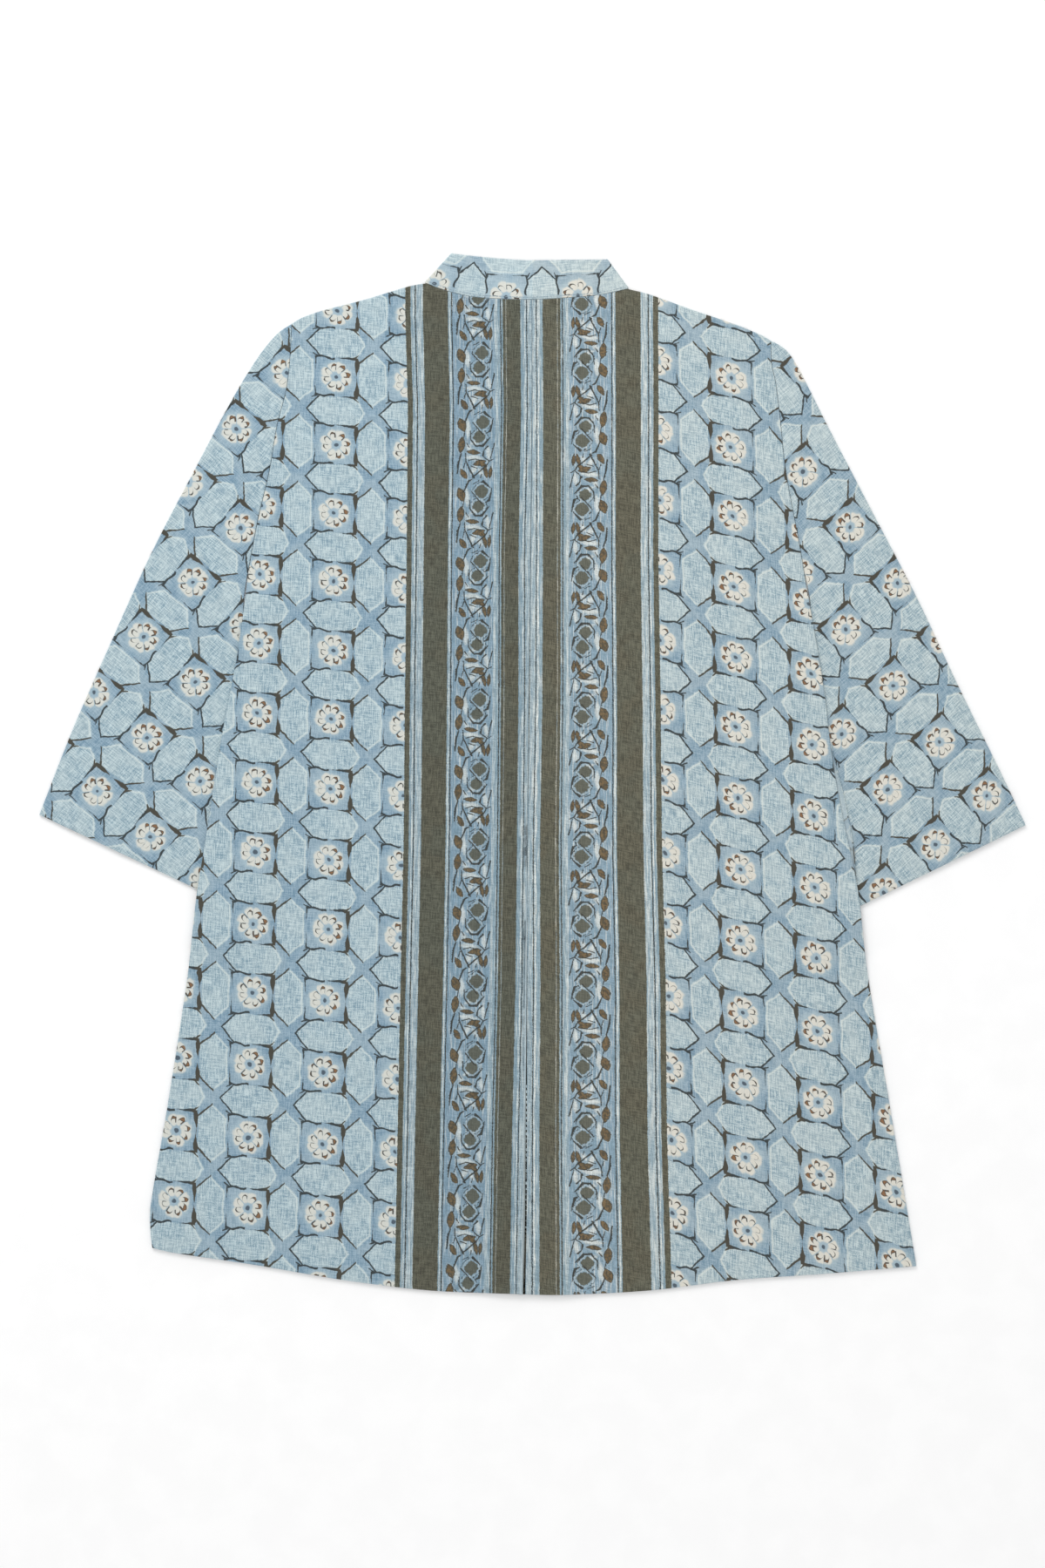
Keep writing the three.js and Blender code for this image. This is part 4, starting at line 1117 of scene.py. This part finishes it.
def sleeve_piece(side_name):
    """One sleeve as a flattened tube with soft folds along its two edges, open at both ends."""
    name = "sleeve_" + side_name
    side = SIDES[side_name]
    sign = side["sign"]
    sizes = bpy.context.scene.shirt_sizes
    step = sizes.grid / MM
    tip_up, tip_out = side["armhole"][0]
    cuff_up, cuff_out = side["overarm"][-1]
    inner_up, inner_out = side["underarm"][-1]
    heights = spaced(UNDERARM_UP, tip_up, step)
    across = (heights - UNDERARM_UP) / (tip_up - UNDERARM_UP)
    length = math.hypot(cuff_up - tip_up, cuff_out - tip_out)
    rim = np.array(SLEEVE_RIM)
    along = np.concatenate([rim, spaced(0, 1, step / length)[1:-1], 1 - rim[::-1]])
    flat = lambda out, up: np.stack([out * sign, up], -1)
    armhole = flat(line_at(side["armhole"], heights) + SEAM_GAP, heights)
    cuff = flat(inner_out + (cuff_out - inner_out) * across, inner_up + (cuff_up - inner_up) * across)
    under_up = UNDERARM_UP + (inner_up - UNDERARM_UP) * along
    over_up = tip_up + (cuff_up - tip_up) * along
    underarm = flat(line_at(side["underarm"], under_up), under_up)
    overarm = flat(line_at(side["overarm"], over_up), over_up)
    underarm[0], overarm[0] = armhole[0], armhole[-1]
    plan = grid_inside(underarm, overarm, armhole, cuff, across, along)
    over_edge, under_edge = plan[:, -1].copy(), plan[:, 0].copy()
    over_away = unit(plan[:, -1] - plan[:, -2])
    under_away = unit(plan[:, 0] - plan[:, 1])
    plan[:, -1] = over_edge - over_away * FOLD_RADIUS
    plan[:, 0] = under_edge - under_away * FOLD_RADIUS
    # The underside's print is the upper side's, turned over along the chord of the overarm fold
    chord = unit(over_edge[-1] - over_edge[0])
    normal = np.array([chord[1], -chord[0]])
    bulge = (over_edge - over_edge[0]) @ normal
    lower_places = (plan - 2 * ((plan - over_edge[0]) @ normal)[..., None] * normal
                    + 2 * bulge[:, None, None] * normal)
    loft = (SLEEVE_LOFT * smooth(*SLEEVE_LOFT_FROM_ARMHOLE, along)[:, None]
            * smooth(*SLEEVE_LOFT_FROM_BODY, across) * fade(SLEEVE_LOFT_TO_FOLD, across))
    ends = np.minimum(smooth(0, rim[-1], along), smooth(0, rim[-1], 1 - along))
    pinch = (1 - ends[:, None]) * SLEEVE_PINCH

    def fold(edge, away, radius, way):
        """The points round one folded edge, at each turn."""
        return np.stack([np.concatenate([
            edge + away * radius * math.sin(turn),
            np.full((len(edge), 1), FOLD_RADIUS + way * radius * math.cos(turn))], 1)
            for turn in FOLD_TURNS], 1)

    def ring(inset):
        """The tube's skin, some way in from its outside."""
        radius = FOLD_RADIUS - inset
        lower_z = np.zeros(plan.shape[:2]) + inset + pinch
        upper_z = 2 * FOLD_RADIUS - inset + loft - pinch
        lower, upper = (np.concatenate([plan, z[..., None]], -1) for z in (lower_z, upper_z))
        return np.concatenate([lower, fold(plan[:, -1], over_away, radius, -1),
                               upper[:, ::-1], fold(plan[:, 0], under_away, radius, 1)], 1)

    outer, inner = ring(0), ring(sizes.cloth / MM)
    over_places = np.stack([
        over_edge + over_away * FOLD_RADIUS * (1 - turn / math.pi * 2) * 0.6 for turn in FOLD_TURNS], 1)
    under_places = np.repeat(plan[:, :1], len(FOLD_TURNS), 1)
    places = np.concatenate([lower_places, over_places, plan[:, ::-1], under_places], 1)
    repeats = repeat_places(name, places).reshape(-1, 2)
    index, after = ring_numbers(outer.shape[:2])
    count = index.size
    quad = np.stack([index[:-1], after[:-1], after[1:], index[1:]], -1).reshape(-1, 4)
    first = np.stack([index[0], index[0] + count, after[0] + count, after[0]], -1)
    last = np.stack([index[-1], after[-1], after[-1] + count, index[-1] + count], -1)
    points, faces, inside_faces = closed_shell(
        outer, inner, quad, np.concatenate([first, last]), len(quad) // 8, False)
    piece = mesh_object(name + "_cloth", points, faces, {"Repeat": np.concatenate([repeats] * 2)})
    assign(piece, cloth_finish("trellis"), cloth_finish("trellis", True), inside_faces)
    dress(piece, name)
    area = sheet_measure(points, faces)


class SHIRT_OT_sleeves(Operator):
    """Make the two wide sleeves"""

    bl_idname = "shirt.sleeves"
    bl_label = "Sleeves"

    def execute(self, context):
        for side_name in SIDES:
            sleeve_piece(side_name)
        return {"FINISHED"}


BAND_ROWS = 12
BAND_EDGE_TURNS = np.linspace(0, math.pi, 7)[1:-1]


def band_half(side):
    """Half of the band as columns, from its front end over the fold to the centre back.

    Each column has its base and top (x, up), the heights of both, none in the fold, and the way that its
    outside faces.
    """
    columns = []
    for base, top in zip(*front_neck(side, FRONT_NECK_POINTS)):
        heights = [float(front_height(side, *spot)) for spot in (base, top)]
        columns.append((base, top, heights, np.array([0, 0, -1])))
    lines = back_neck(side, BACK_NECK_POINTS)
    base, top = (line[-1] for line in lines)
    edge = unit(top - base)
    outward = np.array([edge[1], -edge[0]]) * side["sign"]
    for turn in FOLD_TURNS:
        columns.append((base, top, None, np.array([*(outward * math.sin(turn)), -math.cos(turn)])))
    for base, top in zip(*(line[::-1] for line in lines)):
        heights = [float(back_height(side, *spot, 0)) for spot in (base, top)]
        columns.append((base, top, heights, np.array([0, 0, 1])))
    return columns


def band_section(base, top, heights, facing):
    """One column of the band: up its outside, round its top edge, down its inside and round its base."""
    half = CLOTH / 2
    run = top - base
    edge = half / np.linalg.norm(run)
    ways = ([(part, half) for part in np.linspace(edge, 1 - edge, BAND_ROWS)]
            + [(1 - edge * (1 - math.sin(turn)), half * math.cos(turn)) for turn in BAND_EDGE_TURNS]
            + [(part, -half * 0.5) for part in np.linspace(1 - edge, edge, BAND_ROWS)]
            + [(edge * (1 - math.sin(turn)), -half * math.cos(turn) * 0.9) for turn in BAND_EDGE_TURNS])
    points = []
    for part, shift in ways:
        spot = base + run * part
        if heights:
            middle = np.array([*spot, heights[0] + (heights[1] - heights[0]) * part + half])
        else:
            middle = np.array([*spot, FOLD_RADIUS]) + facing * (FOLD_RADIUS - half)
        points.append(middle + facing * shift)
    return points


def band_piece():
    """The collar band: its left front half, a fold, its back half on top, a fold, its right front half."""
    columns = band_half(SIDES["left"])[:-1] + band_half(SIDES["right"])[::-1]
    points = np.array([band_section(*column) for column in columns])
    around = points.shape[1]
    # The print lies straight over the back half, and runs on from each fold along the front halves
    along = run_lengths(points[:, 0])
    back = [k for k, column in enumerate(columns) if column[3][2] == 1]
    middle = min(back, key=lambda k: abs(columns[k][0][0]))
    repeats = band_places(points[..., 0], points[..., 1])
    for end, run in ((back[0], slice(0, back[0])), (back[-1], slice(back[-1] + 1, None))):
        further = (along[run] - along[end]) / BAND_REPEAT
        repeats[run, :, 0] = repeats[end, :, 0]
        repeats[run, :, 1] = repeats[end, :, 1] + further[:, None]
    index, after = ring_numbers(points.shape[:2])
    faces = np.stack([index[:-1], index[1:], after[1:], after[:-1]], -1).reshape(-1, 4)
    caps = [index[0].tolist(), index[-1][::-1].tolist()]
    points = points.reshape(-1, 3)
    a, b, c = points[faces[middle * around + 3][:3]]
    if np.cross(b - a, c - a)[2] < 0:
        faces = faces[:, ::-1]
        caps = [cap[::-1] for cap in caps]
    layers = {"Repeat": repeats.reshape(-1, 2)}
    piece = mesh_object("band_collar_cloth", points, faces.tolist() + caps, layers)
    assign(piece, cloth_finish("band"))
    dress(piece, "band_collar")
    sheet_measure(points, faces)


class SHIRT_OT_band(Operator):
    """Make the collar band round the neck"""

    bl_idname = "shirt.band"
    bl_label = "Band collar"

    def execute(self, context):
        band_piece()
        return {"FINISHED"}


BAND_BUTTON_UP = 351
TOP_BUTTON_UP = 296
BUTTON_SPACING = 92
FRONT_BUTTONS = 7
BUTTON_NODES = {"button_band": BAND_BUTTON_UP,
                **{f"button_{k + 1}": TOP_BUTTON_UP - BUTTON_SPACING * k for k in range(FRONT_BUTTONS)}}
BUTTON_HOLE_SPACING = 3.2
BUTTON_HOLE_RADIUS = 0.9
BUTTON_BEVEL = 0.3
# The buttons' outside stands this far off the surface, on the thread through their holes
BUTTON_RAISE = 0.3
# Handle length of a quarter circle, as a share of its radius
QUARTER_HANDLE = 0.5523


def add_circle(curve, x, y, radius):
    """Adds a circle (mm) to a curve, as four quarters."""
    spline = curve.splines.new("BEZIER")
    spline.bezier_points.add(3)
    spline.use_cyclic_u = True
    for k, point in enumerate(spline.bezier_points):
        turn = k * math.pi / 2
        spot = Vector((x + radius * math.cos(turn), y + radius * math.sin(turn), 0))
        lead = Vector((-math.sin(turn), math.cos(turn), 0)) * (QUARTER_HANDLE * radius)
        point.co = spot * MM
        point.handle_left = (spot - lead) * MM
        point.handle_right = (spot + lead) * MM


def button_piece(name, up):
    """A flat four-hole button with soft edges, its outside down on the surface."""
    curve = bpy.data.curves.new(name, "CURVE")
    curve.dimensions = "2D"
    curve.fill_mode = "BOTH"
    curve.resolution_u = 8
    curve.extrude = ((BUTTON_TOP - BUTTON_RAISE) / 2 - BUTTON_BEVEL) * MM
    curve.bevel_depth = BUTTON_BEVEL * MM
    curve.bevel_resolution = 3
    add_circle(curve, 0, 0, bpy.context.scene.shirt_sizes.button / 2 / MM - BUTTON_BEVEL)
    for x in (-BUTTON_HOLE_SPACING / 2, BUTTON_HOLE_SPACING / 2):
        for y in (-BUTTON_HOLE_SPACING / 2, BUTTON_HOLE_SPACING / 2):
            add_circle(curve, x, y, BUTTON_HOLE_RADIUS + BUTTON_BEVEL)
    holder = bpy.data.objects.new(name, curve)
    mesh = bpy.data.meshes.new_from_object(holder)
    bpy.data.objects.remove(holder)
    middle = (0, (up + DRAWING_SHIFT_UP) * MM, (BUTTON_TOP + BUTTON_RAISE) / 2 * MM)
    mesh.transform(Matrix.Translation(middle))
    mesh.polygons.foreach_set("use_smooth", np.ones(len(mesh.polygons), bool))
    piece = bpy.data.objects.new(name + "_shell", mesh)
    bpy.context.scene.collection.objects.link(piece)
    piece.data.materials.clear()
    assign(piece, material("button shell", lambda: plain_finish(
        "button shell", linear(92, 82, 74), linear(134, 122, 108), 0.34, 260, 0.0001, 0.3)))
    dress(piece, name)


# Sewing: how far the stitches lie in from the band's seam edge, their width, the gap between them, how far
# the first and last stay from the line's ends, and the points along the line. Then the seam allowances'
# width, depth under the back's top and thickness.
STITCH_IN = 2.0
STITCH_WIDTH = 0.5
STITCH_GAP = 0.5
STITCH_ENDS = (0.3, 1.2)
STITCH_LINE_POINTS = 60
TAPE_WIDTH = 16.0
TAPE_DEPTH = 0.75
TAPE_THICKNESS = 0.3


def rounded_bars(starts, ends, ups, width):
    """Many small rounded bars, such as stitches, each arched over the cloth between its two ends.

    Each end's radius is a quarter of the middle's, and ups says which way each bar arches.
    """
    parts = np.array([0, 0.12, 0.5, 0.88, 1])
    swell = np.array([0.25, 0.85, 1, 0.85, 0.25])
    arch = np.array([-0.6, 0, 0.25, 0, -0.6])
    turns = np.arange(6) * math.pi / 3
    run = ends - starts
    aside = np.cross(ups, unit(run))
    middles = (starts[:, None] + run[:, None] * parts[None, :, None]
               + ups[:, None] * (arch * width / 2)[None, :, None])
    rings = (middles[:, :, None]
             + (aside[:, None, None] * np.cos(turns)[None, None, :, None]
                + ups[:, None, None] * np.sin(turns)[None, None, :, None])
             * (swell * width / 2)[None, :, None, None])
    index, after = ring_numbers(rings.shape[:3])
    quads = np.stack([index[:, :-1], after[:, :-1], after[:, 1:], index[:, 1:]], -1).reshape(-1, 4)
    caps = np.concatenate([index[:, 0, ::-1], index[:, -1]])
    return rings.reshape(-1, 3), quads.tolist() + caps.tolist()


def thread():
    return material("sewing thread", lambda: plain_finish(
        "sewing thread", linear(128, 148, 160), linear(168, 184, 192), 0.7, 900, 0.0001))


def thread_piece(name, starts, ends, ups):
    """Stitches of sewing thread as one piece."""
    piece = mesh_object(name, *rounded_bars(starts, ends, ups, STITCH_WIDTH))
    assign(piece, thread())
    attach(piece, "root")


def button_thread():
    """Two short bars of thread over the holes of each button."""
    reach = BUTTON_HOLE_SPACING / 2 + 0.3
    places = [(side * BUTTON_HOLE_SPACING / 2, up) for up in BUTTON_NODES.values() for side in (-1, 1)]
    starts = np.array([[x, up - reach, BUTTON_RAISE] for x, up in places])
    ups = np.tile([0.0, 0.0, -1.0], (len(places), 1))
    thread_piece("button_thread", starts, starts + np.array([0, 2 * reach, 0]), ups)


def collar_stitches():
    """One line of stitches on the band, just above the neck seam, over the back and both fronts."""
    length = bpy.context.scene.shirt_sizes.stitch / MM
    starts, ends, ups = [], [], []
    for side in SIDES.values():
        for back in (True, False):
            base, top = (back_neck if back else front_neck)(side, STITCH_LINE_POINTS)
            line = base + unit(top - base) * STITCH_IN
            gone = run_lengths(line)
            # The left half lies over the right one in the lap, so its line starts past it
            hidden = 0 if back or side["sign"] > 0 else 2 * LAP
            begin = np.arange(hidden + STITCH_ENDS[0], gone[-1] - length - STITCH_ENDS[1],
                              length + STITCH_GAP)
            for spots, shift in ((starts, 0), (ends, length)):
                x, up = (np.interp(begin + shift, gone, line[:, k]) for k in (0, 1))
                z = (back_height(side, x, up, 0) + CLOTH if back
                     else front_height(side, x, up) + STITCH_WIDTH * 0.45)
                spots.append(np.stack([x, up, z], 1))
            ups.append(np.tile([0, 0, 1.0 if back else -1.0], (len(begin), 1)))
    thread_piece("collar_stitches", *(np.concatenate(rows) for rows in (starts, ends, ups)))


def seam_tape(name, line):
    """The pressed seam allowances inside a seam of the back, as one thin strip along a line (x, up)."""
    away = np.gradient(line, axis=0)
    away = unit(np.stack([away[:, 1], -away[:, 0]], 1))
    shares = np.array([-1, -0.5, 0, 0.5, 1])
    plan = line[:, None] + away[:, None] * (shares * TAPE_WIDTH / 2)[None, :, None]
    top = back_height(SIDES["right"], plan[..., 0], plan[..., 1], 0) + CLOTH - TAPE_DEPTH
    points, faces, _ = shell_from_grid(np.concatenate([plan, top[..., None]], -1), TAPE_THICKNESS, True)
    repeats = repeat_places("back_right", plan).reshape(-1, 2)
    piece = mesh_object(name, points, faces, {"Repeat": np.concatenate([repeats] * 2)})
    assign(piece, cloth_finish("trellis", True))
    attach(piece, "root")


class SHIRT_OT_sewing(Operator):
    """Make the stitches beside the neck seam and the allowances inside the back's seams"""

    bl_idname = "shirt.sewing"
    bl_label = "Sewing"

    def execute(self, context):
        collar_stitches()
        button_thread()
        ups = np.arange(BACK_SEAM[-1][0] - 1.5, BACK_SEAM[0][0] + 2, -6.0)
        seam_tape("centre_seam_allowance", np.stack([line_at(BACK_SEAM, ups), ups], 1))
        xs = np.arange(-86.0, 77.0, 4.0)
        seam_tape("neck_seam_allowance", np.stack([xs, line_at(BAND_BASE, xs)], 1))
        return {"FINISHED"}


class SHIRT_OT_buttons(Operator):
    """Make the buttons of the front closure"""

    bl_idname = "shirt.buttons"
    bl_label = "Buttons"

    def execute(self, context):
        for name, up in BUTTON_NODES.items():
            button_piece(name, up)
        return {"FINISHED"}


# The floor is this far under the cloth (mm), so that the two never lie in one plane
FLOOR_UP = -0.2
# Sizes and places on the stage in metres
FLOOR_SIZE = 6
LAMP_SIZE = 1.2
LAMP_PLACE = Vector((-0.8, 1.8, 1.6))
CAMERA_PLACE = (-0.0086, -0.009)
# Width of the camera's sensor (mm)
SENSOR_WIDTH = 36


class SHIRT_OT_stage(Operator):
    """Make the floor, the lights and the camera"""

    bl_idname = "shirt.stage"
    bl_label = "Stage"

    def execute(self, context):
        scene = context.scene
        stage = scene.shirt_stage
        bpy.ops.mesh.primitive_plane_add(size=FLOOR_SIZE, location=(0, 0, FLOOR_UP * MM))
        floor = context.active_object
        floor.name = "floor"
        assign(floor, plain_finish(
            "white surface", linear(250, 250, 250), linear(252, 252, 252), 0.9, 30, 0.00001))
        world = bpy.data.worlds.new("soft white surroundings")
        world.use_nodes = True
        background = world.node_tree.nodes["Background"]
        background.inputs["Color"].default_value = (1, 1, 1, 1)
        background.inputs["Strength"].default_value = stage.sky
        scene.world = world
        lamp = bpy.data.lights.new("soft lamp", "AREA")
        lamp.shape = "DISK"
        lamp.size = LAMP_SIZE
        lamp.energy = stage.lamp
        holder = bpy.data.objects.new("soft lamp", lamp)
        holder.location = LAMP_PLACE
        holder.rotation_euler = (-LAMP_PLACE).to_track_quat("-Z", "Y").to_euler()
        scene.collection.objects.link(holder)
        camera = bpy.data.cameras.new("camera")
        camera.sensor_width = SENSOR_WIDTH
        camera.sensor_fit = "AUTO"
        camera.lens = SENSOR_WIDTH * stage.height / stage.view_length
        camera.clip_end = 50
        holder = bpy.data.objects.new("camera", camera)
        holder.location = (CAMERA_PLACE[0], CAMERA_PLACE[1] + DRAWING_SHIFT_UP * MM, stage.height)
        scene.collection.objects.link(holder)
        scene.camera = holder
        scene.view_settings.view_transform = "Standard"
        return {"FINISHED"}


OPERATORS = (SHIRT_OT_back, SHIRT_OT_front, SHIRT_OT_sleeves, SHIRT_OT_band, SHIRT_OT_buttons,
             SHIRT_OT_sewing, SHIRT_OT_stage)


class SHIRT_PT_panel(Panel):
    """Lists the shirt's pieces and settings"""

    bl_idname = "SHIRT_PT_panel"
    bl_label = "Band collar shirt"
    bl_space_type = "VIEW_3D"
    bl_region_type = "UI"
    bl_category = "Shirt"

    def draw(self, context):
        for operator in OPERATORS:
            self.layout.operator(operator.bl_idname)
        for group in ("shirt_sizes", "shirt_stage", "shirt_colours"):
            settings = getattr(context.scene, group)
            box = self.layout.box()
            for key in type(settings).__annotations__:
                box.prop(settings, key)


CLASSES = (ShirtSizes, PrintColours, StageSettings, *OPERATORS, SHIRT_PT_panel)


def register():
    for kind in CLASSES:
        bpy.utils.register_class(kind)
    bpy.types.Scene.shirt_sizes = PointerProperty(type=ShirtSizes)
    bpy.types.Scene.shirt_colours = PointerProperty(type=PrintColours)
    bpy.types.Scene.shirt_stage = PointerProperty(type=StageSettings)


def unregister():
    del bpy.types.Scene.shirt_stage
    del bpy.types.Scene.shirt_colours
    del bpy.types.Scene.shirt_sizes
    for kind in reversed(CLASSES):
        bpy.utils.unregister_class(kind)


def main():
    register()
    bpy.ops.shirt.back()
    bpy.ops.shirt.front()
    bpy.ops.shirt.sleeves()
    bpy.ops.shirt.band()
    bpy.ops.shirt.buttons()
    bpy.ops.shirt.sewing()
    bpy.ops.shirt.stage()


if __name__ == "__main__":
    main()
